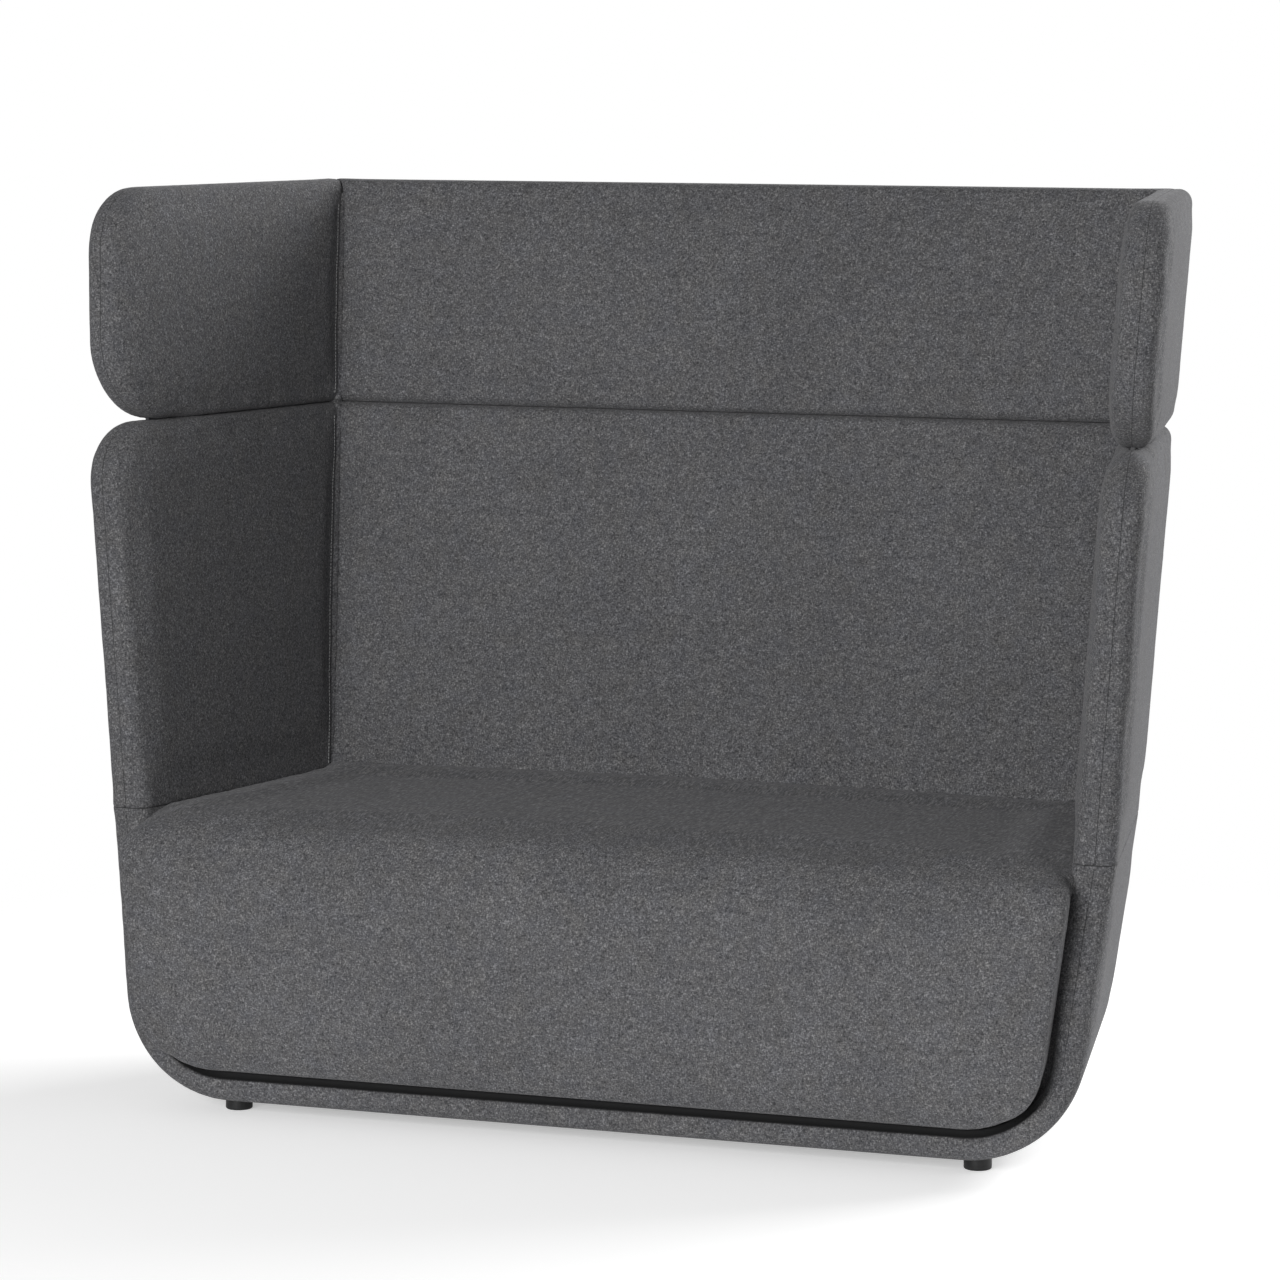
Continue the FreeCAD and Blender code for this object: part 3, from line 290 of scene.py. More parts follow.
def charcoal_felt():
    """Milled wool felt in mixed greys: pale, dark and faintly tinted fibres, cloudy tone, soft fuzz."""
    finish = bpy.data.materials.new("charcoal_felt")
    finish.use_nodes = True
    nodes, links = finish.node_tree.nodes, finish.node_tree.links
    shader = nodes["Principled BSDF"]
    place = nodes.new("ShaderNodeTexCoord")

    def fibres(scale, stretch, turn, detail=2.0):
        lay = nodes.new("ShaderNodeMapping")
        lay.inputs["Scale"].default_value = stretch
        lay.inputs["Rotation"].default_value = turn
        links.new(place.outputs["Object"], lay.inputs["Vector"])
        strands = nodes.new("ShaderNodeTexNoise")
        strands.inputs["Scale"].default_value = scale
        strands.inputs["Detail"].default_value = detail
        strands.inputs["Roughness"].default_value = 0.62
        links.new(lay.outputs["Vector"], strands.inputs["Vector"])
        return strands.outputs["Fac"]

    def blend(kind, a, b, clamp=False):
        sum_node = nodes.new("ShaderNodeMath")
        sum_node.operation = kind
        sum_node.use_clamp = clamp
        for socket, value in zip(sum_node.inputs, (a, b)):
            if isinstance(value, float):
                socket.default_value = value
            else:
                links.new(value, socket)
        return sum_node.outputs[0]

    def toned(fac, stops):
        ramp = nodes.new("ShaderNodeValToRGB")
        ramp.color_ramp.elements[0].position = stops[0][0]
        ramp.color_ramp.elements[0].color = (*stops[0][1], 1)
        ramp.color_ramp.elements[1].position = stops[-1][0]
        ramp.color_ramp.elements[1].color = (*stops[-1][1], 1)
        for position, color in stops[1:-1]:
            ramp.color_ramp.elements.new(position).color = (*color, 1)
        links.new(fac, ramp.inputs["Fac"])
        return ramp.outputs["Color"]

    lengthwise = fibres(430.0, (0.6, 0.8, 1.5), (0.4, 0.3, 0.5))
    crosswise = fibres(430.0, (1.5, 0.8, 0.6), (-0.5, 0.4, -0.7))
    speck = fibres(330.0, (1.0, 1.0, 1.0), (0.0, 0.0, 0.0), 3.0)
    nap = fibres(330.0, (1.0, 0.2, 1.0), (0.0, 0.0, 0.0), 3.0)
    cloud = fibres(26.0, (1.0, 1.0, 1.0), (0.2, 0.1, 0.0), 3.0)
    broad = fibres(4.0, (1.0, 1.0, 1.0), (0.0, 0.3, 0.1), 2.0)
    streak = fibres(120.0, (0.6, 1.0, 1.0), (0.2, -0.3, 0.4), 2.0)
    weave = blend("MULTIPLY", blend("ADD", blend("ADD", lengthwise, crosswise), speck), 1.0 / 3.0)
    upright = blend("ADD", blend("MULTIPLY", weave, 0.9), blend("MULTIPLY", streak, 0.1))
    shape = nodes.new("ShaderNodeNewGeometry")
    parts = nodes.new("ShaderNodeSeparateXYZ")
    links.new(shape.outputs["Normal"], parts.inputs["Vector"])
    level = nodes.new("ShaderNodeMapRange")
    level.interpolation_type = "SMOOTHSTEP"
    level.inputs["From Min"].default_value = 0.86
    level.inputs["From Max"].default_value = 0.995
    level.inputs["To Max"].default_value = 0.55
    links.new(parts.outputs["Z"], level.inputs["Value"])
    laid = nodes.new("ShaderNodeMix")
    links.new(level.outputs["Result"], laid.inputs["Factor"])
    links.new(upright, laid.inputs["A"])
    links.new(nap, laid.inputs["B"])
    mottle = laid.outputs["Result"]
    grey = toned(mottle, [(0.39, (0.030, 0.030, 0.032)), (0.47, (0.074, 0.074, 0.077)),
                          (0.53, (0.110, 0.110, 0.113)), (0.63, (0.25, 0.25, 0.253))])
    tint = toned(cloud, [(0.3, (0.98, 0.985, 1.02)), (0.7, (1.015, 1.0, 0.985))])
    worn = toned(broad, [(0.3, (0.94, 0.94, 0.94)), (0.7, (1.06, 1.06, 1.06))])
    mixed = nodes.new("ShaderNodeMix")
    mixed.data_type = "RGBA"
    mixed.blend_type = "MULTIPLY"
    mixed.inputs["Factor"].default_value = 1.0
    links.new(grey, mixed.inputs["A"])
    links.new(tint, mixed.inputs["B"])
    final = nodes.new("ShaderNodeMix")
    final.data_type = "RGBA"
    final.blend_type = "MULTIPLY"
    final.inputs["Factor"].default_value = 1.0
    links.new(mixed.outputs["Result"], final.inputs["A"])
    links.new(worn, final.inputs["B"])
    away = nodes.new("ShaderNodeAttribute")
    away.attribute_name = "seam"
    sewn = nodes.new("ShaderNodeMapRange")
    sewn.interpolation_type = "SMOOTHSTEP"
    sewn.inputs["From Min"].default_value = SEAM_HALF_WIDTH * 0.4
    sewn.inputs["From Max"].default_value = SEAM_HALF_WIDTH * 1.6
    links.new(blend("ABSOLUTE", away.outputs["Fac"], 0.0), sewn.inputs["Value"])
    drawn_in = nodes.new("ShaderNodeMix")
    drawn_in.data_type = "RGBA"
    drawn_in.inputs["A"].default_value = (0.03, 0.03, 0.031, 1)
    links.new(sewn.outputs["Result"], drawn_in.inputs["Factor"])
    links.new(final.outputs["Result"], drawn_in.inputs["B"])
    # Painted shade: where the tub cover's attribute marks the lip deep in the gap under the seat, the felt
    # colour is painted near black to stand in for the shade there.
    inner = nodes.new("ShaderNodeAttribute")
    inner.attribute_name = "painted_gap_shade"
    gap_shaded = nodes.new("ShaderNodeMix")
    gap_shaded.data_type = "RGBA"
    gap_shaded.inputs["B"].default_value = (0.004, 0.004, 0.0042, 1)
    links.new(inner.outputs["Fac"], gap_shaded.inputs["Factor"])
    links.new(drawn_in.outputs["Result"], gap_shaded.inputs["A"])
    links.new(gap_shaded.outputs["Result"], shader.inputs["Base Color"])
    bump = nodes.new("ShaderNodeBump")
    bump.inputs["Strength"].default_value = 0.35
    bump.inputs["Distance"].default_value = 0.0008
    links.new(blend("ADD", weave, sewn.outputs["Result"]), bump.inputs["Height"])
    links.new(bump.outputs["Normal"], shader.inputs["Normal"])
    shader.inputs["Roughness"].default_value = 0.92
    shader.inputs["Specular IOR Level"].default_value = 0.15
    shader.inputs["Sheen Weight"].default_value = 0.12
    shader.inputs["Sheen Roughness"].default_value = 0.55
    shader.inputs["Sheen Tint"].default_value = (0.8, 0.8, 0.82, 1)
    return finish


def loose_copy(node):
    """A merged copy of one upholstery solid, to be covered."""
    bpy.ops.object.select_all(action="DESELECT")
    copy = frame["nodes"][node].copy()
    copy.data = copy.data.copy()
    copy.parent = None
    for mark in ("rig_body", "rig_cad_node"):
        del copy[mark]
    bpy.context.scene.collection.objects.link(copy)
    copy.hide_render = False
    copy.hide_viewport = False
    copy.select_set(True)
    bpy.context.view_layer.objects.active = copy
    bpy.ops.object.mode_set(mode="EDIT")
    bpy.ops.mesh.select_all(action="SELECT")
    bpy.ops.mesh.remove_doubles(threshold=MERGE_WITHIN)
    bpy.ops.object.mode_set(mode="OBJECT")
    copy.data.materials.clear()
    return copy


def sliced(copy, height, keep_upper):
    """Cuts a copy level and closes the cut."""
    bpy.ops.object.select_all(action="DESELECT")
    copy.select_set(True)
    bpy.context.view_layer.objects.active = copy
    bpy.ops.object.mode_set(mode="EDIT")
    bpy.ops.mesh.select_all(action="SELECT")
    bpy.ops.mesh.bisect(plane_co=(0, 0, height), plane_no=(0, 0, 1), use_fill=True,
                        clear_inner=keep_upper, clear_outer=not keep_upper)
    bpy.ops.object.mode_set(mode="OBJECT")
    return copy


def joined(copies):
    bpy.ops.object.select_all(action="DESELECT")
    for copy in copies:
        copy.select_set(True)
    bpy.context.view_layer.objects.active = copies[0]
    if len(copies) > 1:
        bpy.ops.object.join()
    return bpy.context.object


def remeshed(piece, grain):
    bpy.ops.object.select_all(action="DESELECT")
    piece.select_set(True)
    bpy.context.view_layer.objects.active = piece
    skin = piece.modifiers.new("skin", "REMESH")
    skin.mode = "VOXEL"
    skin.voxel_size = grain
    bpy.ops.object.modifier_apply(modifier=skin.name)
    return piece


def points_of(mesh, what="co"):
    out = np.zeros(len(mesh.vertices) * 3, np.float32)
    mesh.vertices.foreach_get(what, out)
    return out.reshape(-1, 3)


def swollen(piece, shows, most):
    """Blows a coarse copy up a little, as foam fills a cover, and carries the swelling to the fine skin."""
    coarse = piece.copy()
    coarse.data = piece.data.copy()
    bpy.context.scene.collection.objects.link(coarse)
    remeshed(coarse, SWELL_GRAIN)
    start = points_of(coarse.data)
    free = shows(start, points_of(coarse.data, "normal"))
    held = coarse.vertex_groups.new(name="held")
    for i, share in enumerate(free):
        held.add([i], float(1.0 - share), "REPLACE")
    cloth = coarse.modifiers.new("cloth", "CLOTH")
    cloth.settings.vertex_group_mass = "held"
    cloth.settings.use_pressure = True
    cloth.settings.uniform_pressure_force = SWELL_PRESSURE
    cloth.settings.effector_weights.gravity = 0.0
    cloth.settings.quality = 5
    cloth.collision_settings.use_collision = False
    cloth.point_cache.frame_start = 1
    cloth.point_cache.frame_end = SWELL_FRAMES
    for moment in range(1, SWELL_FRAMES + 1):
        bpy.context.scene.frame_set(moment)
    evaluated = coarse.evaluated_get(bpy.context.evaluated_depsgraph_get())
    move = points_of(evaluated.data) - start
    bpy.context.scene.frame_set(1)
    reach = np.linalg.norm(move, axis=1, keepdims=True)
    move *= np.minimum(1.0, most / np.maximum(reach, 1e-9)) * free[:, None]
    tree = KDTree(len(start))
    for i, p in enumerate(start):
        tree.insert(p, i)
    tree.balance()
    fine = points_of(piece.data)
    for i, p in enumerate(fine):
        near = tree.find_n(p, SWELL_NEIGHBOURS)
        weight = np.array([1.0 / (d + SWELL_BLEND) ** 2 for _, _, d in near])
        fine[i] = p + (move[[k for _, k, _ in near]] * weight[:, None]).sum(0) / weight.sum()
    piece.data.vertices.foreach_set("co", fine.ravel())
    piece.data.update()
    bpy.data.objects.remove(coarse)


def felt_cover(name, filling, nodes, shows, most, seam_of=None, soft_at=None, grain=FELT_GRAIN,
               sewn_to=(), upper=True):
    """Skins pads, and the boards they wrap, as one padded cover, swells its faces and dresses it in felt.
    The tier that it is sewn to is skinned with it and cut off on the seam, so that both meet flush."""
    beyond = TIER_SEAM - SEWN_LAP if upper else TIER_SEAM + SEWN_LAP
    cover = joined([loose_copy(node) for node in nodes + filling]
                   + [sliced(loose_copy(node), beyond, upper) for node in sewn_to])
    cover.name = name
    cover.data.name = name
    remeshed(cover, grain)
    swollen(cover, shows, most)
    bpy.ops.object.select_all(action="DESELECT")
    cover.select_set(True)
    bpy.context.view_layer.objects.active = cover
    blur = cover.modifiers.new("blur", "SMOOTH")
    blur.factor = 0.5
    blur.iterations = COVER_ROUNDS
    bpy.ops.object.modifier_apply(modifier=blur.name)
    if soft_at:
        rim = cover.vertex_groups.new(name="rim")
        for i, share in enumerate(soft_at(points_of(cover.data))):
            rim.add([i], float(share), "REPLACE")
        blur = cover.modifiers.new("rim_blur", "SMOOTH")
        blur.vertex_group = "rim"
        blur.factor = 0.5
        blur.iterations = RIM_ROUNDS
        bpy.ops.object.modifier_apply(modifier=blur.name)
    if sewn_to:
        sliced(cover, TIER_SEAM, upper)
    sewn = np.full(len(cover.data.vertices), NO_SEAM, np.float32)
    if seam_of:
        points, normals = points_of(cover.data), points_of(cover.data, "normal")
        sewn = seam_of(points).astype(np.float32)
        level = points[:, 2] - TIER_SEAM
        faint = np.abs(level) * LEVEL_SEAM_FINENESS + LEVEL_SEAM_FAINTNESS
        sewn = np.where((np.abs(level) < LEVEL_SEAM_REACH) & (np.abs(level) < np.abs(sewn)), faint, sewn)
        pull = SEAM_DRAW * np.exp(-(sewn / SEAM_SPREAD) ** 2)
        cover.data.vertices.foreach_set("co", (points - normals * pull[:, None]).ravel())
    cover.data.attributes.new("seam", "FLOAT", "POINT").data.foreach_set("value", sewn)
    cover.data.update()
    bpy.ops.object.shade_smooth()
    cover.data.materials.clear()
    cover.data.materials.append(felt)
    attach(cover, "root")
    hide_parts(*nodes)
    return cover


def rising(value, start, run):
    """From 0 at the start to 1 at the end of the run."""
    return np.clip((value - start) / run, 0.0, 1.0)


def falling(value, end, run):
    """From 1 before the run to 0 at its end."""
    return np.clip((end - value) / run, 0.0, 1.0)


def faces_along(direction):
    """Frees the two broad faces of a wall and holds its rim."""
    across = np.array(direction) / np.linalg.norm(direction)

    def shows(points, normals):
        broad = rising(np.abs(normals @ across), 0.6, 0.3)
        return broad * rising(np.abs(points[:, 2] - TIER_SEAM), HELD_START, HELD_RUN)
    return shows


def outside_of_tub(points, normals):
    """Frees the tub's outer sides above its turn."""
    outward = np.sign(points[:, 0]) * normals[:, 0]
    free = rising(outward, 0.5, 0.35) * (points[:, 2] > TUB_FREE_HEIGHT)
    return free * rising(np.abs(points[:, 2] - TIER_SEAM), HELD_START, HELD_RUN)


def side_seam(lean):
    """Signed distance from the sewn middle of a side wall, for an arm or a wing."""
    def seam_of(points):
        across = np.abs(points[:, 0]) * math.cos(SPLAY) + points[:, 1] * math.sin(SPLAY)
        return across - SIDE_START - (points[:, 2] - TIER_SEAM) * lean - WALL_MIDDLE
    return seam_of


def tub_seam(points):
    """The same along the tub: down its side, round the turn and along the floor's lip."""
    across = np.abs(points[:, 0]) * math.cos(SPLAY) + points[:, 1] * math.sin(SPLAY)
    tilt = math.atan(TUB_LEAN)
    hub_z = TUB_FLOOR + TUB_TURN
    hub_s = SIDE_START + (hub_z - TIER_SEAM) * TUB_LEAN - TUB_TURN / math.cos(tilt)
    off_s, off_z = across - hub_s, points[:, 2] - hub_z
    side = off_s * math.cos(tilt) - off_z * math.sin(tilt)
    along_side = off_s * math.sin(tilt) + off_z * math.cos(tilt)
    around = np.where(along_side > 0, side, np.where(off_s < 0, -off_z, np.hypot(off_s, off_z)))
    return around - TUB_TURN - WALL_MIDDLE


def tub_rim_seam(points):
    """The sewn line ends under the seat's corners."""
    return np.where(points[:, 2] > TUB_SEAM_END, tub_seam(points), NO_SEAM)


def front_rim(points):
    """The free front edge of a side, away from the seam to the next tier."""
    forward = rising(-points[:, 1], RIM_START, RIM_RUN)
    return forward * rising(np.abs(points[:, 2] - TIER_SEAM), RIM_SEAM_START, RIM_SEAM_RUN)


felt = charcoal_felt()
tub = felt_cover("tub_cover", ["tub_frame_left", "tub_frame_right"],
                 ["tub_outer_pad_left", "tub_outer_pad_right", "tub_edge_roll_left", "tub_edge_roll_right",
                  "tub_lip_pad"], outside_of_tub, 0.004, tub_rim_seam, front_rim,
                 sewn_to=["arm_inner_pad_left", "arm_outer_pad_left", "arm_core_left",
                          "arm_inner_pad_right", "arm_outer_pad_right", "arm_core_right"], upper=False,
                 grain=TUB_GRAIN)
skin = points_of(tub.data)
depth = tub_seam(skin)
inside = (depth < BARE_WALL_DEPTH) & (skin[:, 1] > LIP_INSIDE)
skin[inside] += points_of(tub.data, "normal")[inside] * BARE_WALL_COVER
step = 1e-4
outward = np.stack([tub_seam(skin + step * axis) - tub_seam(skin - step * axis) for axis in np.eye(3)], 1)
outward /= np.maximum(np.linalg.norm(outward, axis=1, keepdims=True), 1e-9)
under_seat = rising(-depth, 0.0, WALL_MIDDLE) * rising(-skin[:, 1], LIP_START, LIP_RUN)
under_seat *= falling(skin[:, 2], LIP_TOP, LIP_TOP_RUN)
skin += outward * (LIP_DROP * under_seat)[:, None]
tub.data.vertices.foreach_set("co", skin.astype(np.float32).ravel())
# Painted shade: this attribute is 1 on the lip deep in the gap under the seat and low down, where the felt is
# then coloured near black as shade.
painted_gap_shade = rising(-depth, GAP_SHADE_START, GAP_SHADE_RUN) * falling(skin[:, 2], GAP_SHADE_TOP, GAP_SHADE_TOP_RUN)
tub.data.attributes.new("painted_gap_shade", "FLOAT", "POINT").data.foreach_set("value", painted_gap_shade.astype(np.float32))
tub.data.update()
felt_cover("tub_back_cover", [], ["tub_outer_pad_back"], faces_along((0, 1, 0)), 0.004, grain=BACK_GRAIN)


# Arms and backrest.
# Foam pads on both sides of plywood walls, under felt covers that are sewn together along the middle of the
# rim. Arms and backrest meet in sewn corners and are sewn to the tub below.
BACK_LEAN = math.tan(math.radians(8.5))
BACK_START = 0.1808
CREASE = 1.014
REAR_TURN = 0.040             # outside radius of the rear corners
CREASE_ROUND = 0.022          # foam rounds the outside of the crease and the top edge
FRONT_EDGE_ROUND = 0.018
FRONT_END_ROUND = 0.030       # where they turn to the crease an arm and a wing end in a full round
FRONT_END_HEIGHT = 0.11
FRONT_END_FADE = 0.07
FRONT_END_START, FRONT_END_RUN = 0.02, 0.10
LEAST_REACH = 0.02
ARM_FRONT = -0.2872
ARM_TURN = 0.090


def back_seam(points):
    return points[:, 1] - BACK_START - (points[:, 2] - TIER_SEAM) * BACK_LEAN - WALL_MIDDLE


def outside_of_walls(points):
    """Depth under the outer faces, which turn round the rear corners, and the way inwards there."""
    sign = np.sign(points[:, 0])
    rise = points[:, 2] - TIER_SEAM
    across = np.abs(points[:, 0]) * math.cos(SPLAY) + points[:, 1] * math.sin(SPLAY)
    at_side = REAR_TURN - (SIDE_START + 2 * WALL_MIDDLE + rise * ARM_LEAN - across)
    at_back = REAR_TURN - (BACK_START + 2 * WALL_MIDDLE + rise * BACK_LEAN - points[:, 1])
    at_side, at_back = np.maximum(at_side, 0.0), np.maximum(at_back, 0.0)
    turned = np.maximum(np.hypot(at_side, at_back), 1e-9)
    inward = np.stack([sign * math.cos(SPLAY) * at_side, math.sin(SPLAY) * at_side + at_back, 0 * turned], 1)
    return REAR_TURN - turned, -inward / turned[:, None]


def inside_of_side(points):
    """The same under the inner face of an arm or a wing."""
    sign = np.sign(points[:, 0])
    inward = np.stack([sign * math.cos(SPLAY), np.full(len(points), math.sin(SPLAY)), 0 * sign], 1)
    return side_seam(ARM_LEAN)(points) + WALL_MIDDLE, inward


def level_end(height, upward):
    """The same under a level end of a wall, at the crease or at the top."""
    def end(points):
        return (points[:, 2] - height) * upward, np.tile((0.0, 0.0, upward), (len(points), 1))
    return end


def side_end(front, lean, turn, upward):
    """The same under the outline of an arm or a wing, which turns from its front edge to the crease."""
    def end(points):
        from_crease = (points[:, 2] - CREASE) * upward
        at_front = np.maximum(turn - (points[:, 1] - front - from_crease * lean), 0.0)
        at_crease = np.maximum(turn - from_crease, 0.0)
        turned = np.maximum(np.hypot(at_front, at_crease), 1e-9)
        inward = np.stack([0 * turned, at_front, at_crease * upward], 1)
        return turn - turned, inward / turned[:, None]
    return end


def eased(points, face, end, reach):
    """Moves points that are within reach of both a face and an end on to the round between them."""
    face_depth, face_inward = face(points)
    end_depth, end_inward = end(points)
    to_face = np.clip(reach - face_depth, 0.0, reach)
    to_end = np.clip(reach - end_depth, 0.0, reach)
    excess = np.maximum(0.0, 1.0 - reach / np.maximum(np.hypot(to_face, to_end), 1e-9))
    return points + face_inward * (to_face * excess)[:, None] + end_inward * (to_end * excess)[:, None]


def soften_ends(cover, ends, outline=None):
    """Rounds a wall at the crease and at its top, and a side fully where its outline turns to the crease."""
    points = points_of(cover.data).astype(float)
    for end in ends:
        points = eased(points, outside_of_walls, end, CREASE_ROUND)
    if outline:
        near = falling(np.abs(points[:, 2] - CREASE), FRONT_END_HEIGHT, FRONT_END_FADE)
        reach = FRONT_EDGE_ROUND + (FRONT_END_ROUND - FRONT_EDGE_ROUND) * near
        reach *= np.maximum(rising(-points[:, 1], FRONT_END_START, FRONT_END_RUN), LEAST_REACH)
        points = eased(points, outside_of_walls, outline, reach)
        points = eased(points, inside_of_side, outline, reach)
    cover.data.vertices.foreach_set("co", points.astype(np.float32).ravel())
    cover.data.update()


upper_covers = {}
for side, sign in (("left", -1.0), ("right", 1.0)):
    across = (sign * math.cos(SPLAY), math.sin(SPLAY), -0.07)
    arm = felt_cover("arm_cover_" + side, ["arm_core_" + side],
                     ["arm_inner_pad_" + side, "arm_outer_pad_" + side],
                     faces_along(across), 0.005, side_seam(ARM_LEAN), front_rim,
                     sewn_to=["tub_outer_pad_" + side, "tub_edge_roll_" + side, "tub_frame_" + side])
    soften_ends(arm, [level_end(CREASE, -1.0)], side_end(ARM_FRONT, 0.0, ARM_TURN, -1.0))
    upper_covers["arm", side] = arm
backrest = felt_cover("backrest_cover", ["backrest_core"], ["backrest_inner_pad", "backrest_outer_pad"],
                      faces_along((0, 1, -0.15)), 0.006, back_seam)
soften_ends(backrest, [level_end(CREASE, -1.0)])


# Head band.
# The same build as the arms, as a separate band of two wings and a back that sits on them with a tight
# crease between.
BAND_TOP = 1.360
BAND_RIM_START, BAND_RIM_RUN = 1.30, 0.03
MITRE_START, MITRE_RUN = 0.02, 0.04
WING_FRONT = -0.2802
WING_FRONT_LEAN = math.tan(math.radians(6.5))
WING_TURN = 0.120


def band_rim(points):
    """Front and top edges of the band."""
    forward = rising(-points[:, 1], RIM_START, RIM_RUN)
    to_back = BACK_START + (points[:, 2] - TIER_SEAM) * BACK_LEAN - points[:, 1]
    across = np.abs(points[:, 0]) * math.cos(SPLAY) + points[:, 1] * math.sin(SPLAY)
    to_side = SIDE_START + (points[:, 2] - TIER_SEAM) * ARM_LEAN - across
    off_mitre = rising(np.abs(to_back - to_side), MITRE_START, MITRE_RUN)
    return np.maximum(forward, off_mitre * rising(points[:, 2], BAND_RIM_START, BAND_RIM_RUN))


band_ends = [level_end(CREASE, 1.0), level_end(BAND_TOP, -1.0)]
for side, sign in (("left", -1.0), ("right", 1.0)):
    across = (sign * math.cos(SPLAY), math.sin(SPLAY), -0.07)
    wing = felt_cover("wing_cover_" + side, ["wing_core_" + side],
                      ["wing_inner_pad_" + side, "wing_outer_pad_" + side],
                      faces_along(across), 0.005, side_seam(ARM_LEAN), band_rim)
    soften_ends(wing, band_ends, side_end(WING_FRONT, WING_FRONT_LEAN, WING_TURN, 1.0))
    upper_covers["head", side] = wing
head_back = felt_cover("head_back_cover", ["head_back_core"], ["head_back_inner_pad", "head_back_outer_pad"],
                       faces_along((0, 1, -0.15)), 0.006, back_seam, band_rim)
soften_ends(head_back, band_ends)


# Sewn inner corners.
# Where an arm or a wing meets the back the covers are sewn into a low ridge, with one row of stitches in
# grey thread beside it; at the crease the spare felt is folded into the corner.
CORNER_RIDGE = 0.0066
RIDGE_SUNK = 0.006
CORNER_FOLD = 0.013
FOLD_SUNK = 0.021
FOLD_HALF_HEIGHT = 0.011
HEAD_TOP = 1.338
STITCH_ASIDE = 0.010          # from the corner, along the side
STITCH_LENGTH = 0.0042
STITCH_PITCH = 0.0055
STITCH_RADIUS = 0.0009
STITCH_END = 0.012            # the row stops short of the crease and the seam
RIDGE_END = 0.003             # the ridge stops short of the crease
RIDGE_SIDES, RIDGE_EDGE = 16, 0.002
FOLD_SIDES, FOLD_EDGE = 24, 0.003


def corner_at(sign, z, along_side, into_wall=0.0):
    """A point on the line where the inner faces meet, moved forward along the side or into the corner."""
    across = SIDE_START + (z - TIER_SEAM) * ARM_LEAN
    y = BACK_START + (z - TIER_SEAM) * BACK_LEAN - along_side * math.cos(SPLAY)
    inwards = Vector((sign * (1.0 - math.sin(SPLAY)), math.cos(SPLAY), 0)).normalized()
    return Vector((sign * (across - y * math.sin(SPLAY)) / math.cos(SPLAY), y, z)) + inwards * into_wall


def grey_thread():
    """Spun sewing thread, a shade lighter than the felt, with the twist of its plies."""
    finish = bpy.data.materials.new("grey_thread")
    finish.use_nodes = True
    nodes, links = finish.node_tree.nodes, finish.node_tree.links
    shader = nodes["Principled BSDF"]
    place = nodes.new("ShaderNodeTexCoord")
    twist = nodes.new("ShaderNodeTexWave")
    twist.bands_direction = "DIAGONAL"
    twist.inputs["Scale"].default_value = 700.0
    twist.inputs["Distortion"].default_value = 1.5
    links.new(place.outputs["Object"], twist.inputs["Vector"])
    tone = nodes.new("ShaderNodeValToRGB")
    tone.color_ramp.elements[0].color = (0.22, 0.22, 0.222, 1)
    tone.color_ramp.elements[1].color = (0.36, 0.36, 0.362, 1)
    links.new(twist.outputs["Fac"], tone.inputs["Fac"])
    links.new(tone.outputs["Color"], shader.inputs["Base Color"])
    bump = nodes.new("ShaderNodeBump")
    bump.inputs["Strength"].default_value = 0.3
    bump.inputs["Distance"].default_value = 0.0002
    links.new(twist.outputs["Fac"], bump.inputs["Height"])
    links.new(bump.outputs["Normal"], shader.inputs["Normal"])
    shader.inputs["Roughness"].default_value = 0.6
    return finish


def round_bar(name, sides, radius, length, end_round):
    """An upright bar with rounded ends, standing on the origin."""
    bpy.ops.object.select_all(action="DESELECT")
    bpy.ops.mesh.primitive_cylinder_add(vertices=sides, radius=radius, depth=length,
                                        location=(0, 0, length / 2))
    bar = start_piece(name)
    apply_place(bar)
    bpy.ops.object.mode_set(mode="EDIT")
    pick_edges(bar, lambda co: co.z < 1e-6)
    bpy.ops.mesh.bevel(offset=end_round, segments=2, profile=0.5)
    pick_edges(bar, lambda co: co.z > length - 1e-6)
    bpy.ops.mesh.bevel(offset=end_round, segments=2, profile=0.5)
    bpy.ops.object.mode_set(mode="OBJECT")
    bpy.ops.object.shade_smooth_by_angle(angle=math.radians(50))
    return bar


def set_in(bar, low, high, finish):
    """Turns an upright bar on to its line and fixes it to the sofa."""
    bar.location = low
    bar.rotation_euler = (high - low).to_track_quat("Z", "Y").to_euler()
    apply_place(bar)
    away = np.full(len(bar.data.vertices), NO_SEAM, np.float32)
    bar.data.attributes.new("seam", "FLOAT", "POINT").data.foreach_set("value", away)
    bar.data.materials.clear()
    bar.data.materials.append(finish)
    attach(bar, "root")
    return bar


def row_of_bars(name, radius, length, pitch, low, high, finish):
    """Models one short bar and copies it along a line."""
    row = round_bar(name, 6, radius, length, radius * 0.6)
    copies = row.modifiers.new("copies", "ARRAY")
    copies.count = int((high - low).length / pitch)
    copies.use_relative_offset = False
    copies.use_constant_offset = True
    copies.constant_offset_displace = (0, 0, pitch)
    count = copies.count
    bpy.ops.object.modifier_apply(modifier=copies.name)
    return set_in(row, low, high, finish), count


def row_of_stitches(name, low, high, cover):
    """Lays each stitch of a row on the cover."""
    row, count = row_of_bars(name, STITCH_RADIUS, STITCH_LENGTH, STITCH_PITCH, low, high,
                             thread)
    points = points_of(row.data).reshape(count, -1, 3)
    for stitch in points:
        middle = Vector(stitch.mean(0))
        _, lies_at, _, _ = cover.closest_point_on_mesh(middle)
        stitch += np.array(lies_at - middle, np.float32)
    row.data.vertices.foreach_set("co", points.ravel())
    row.data.update()


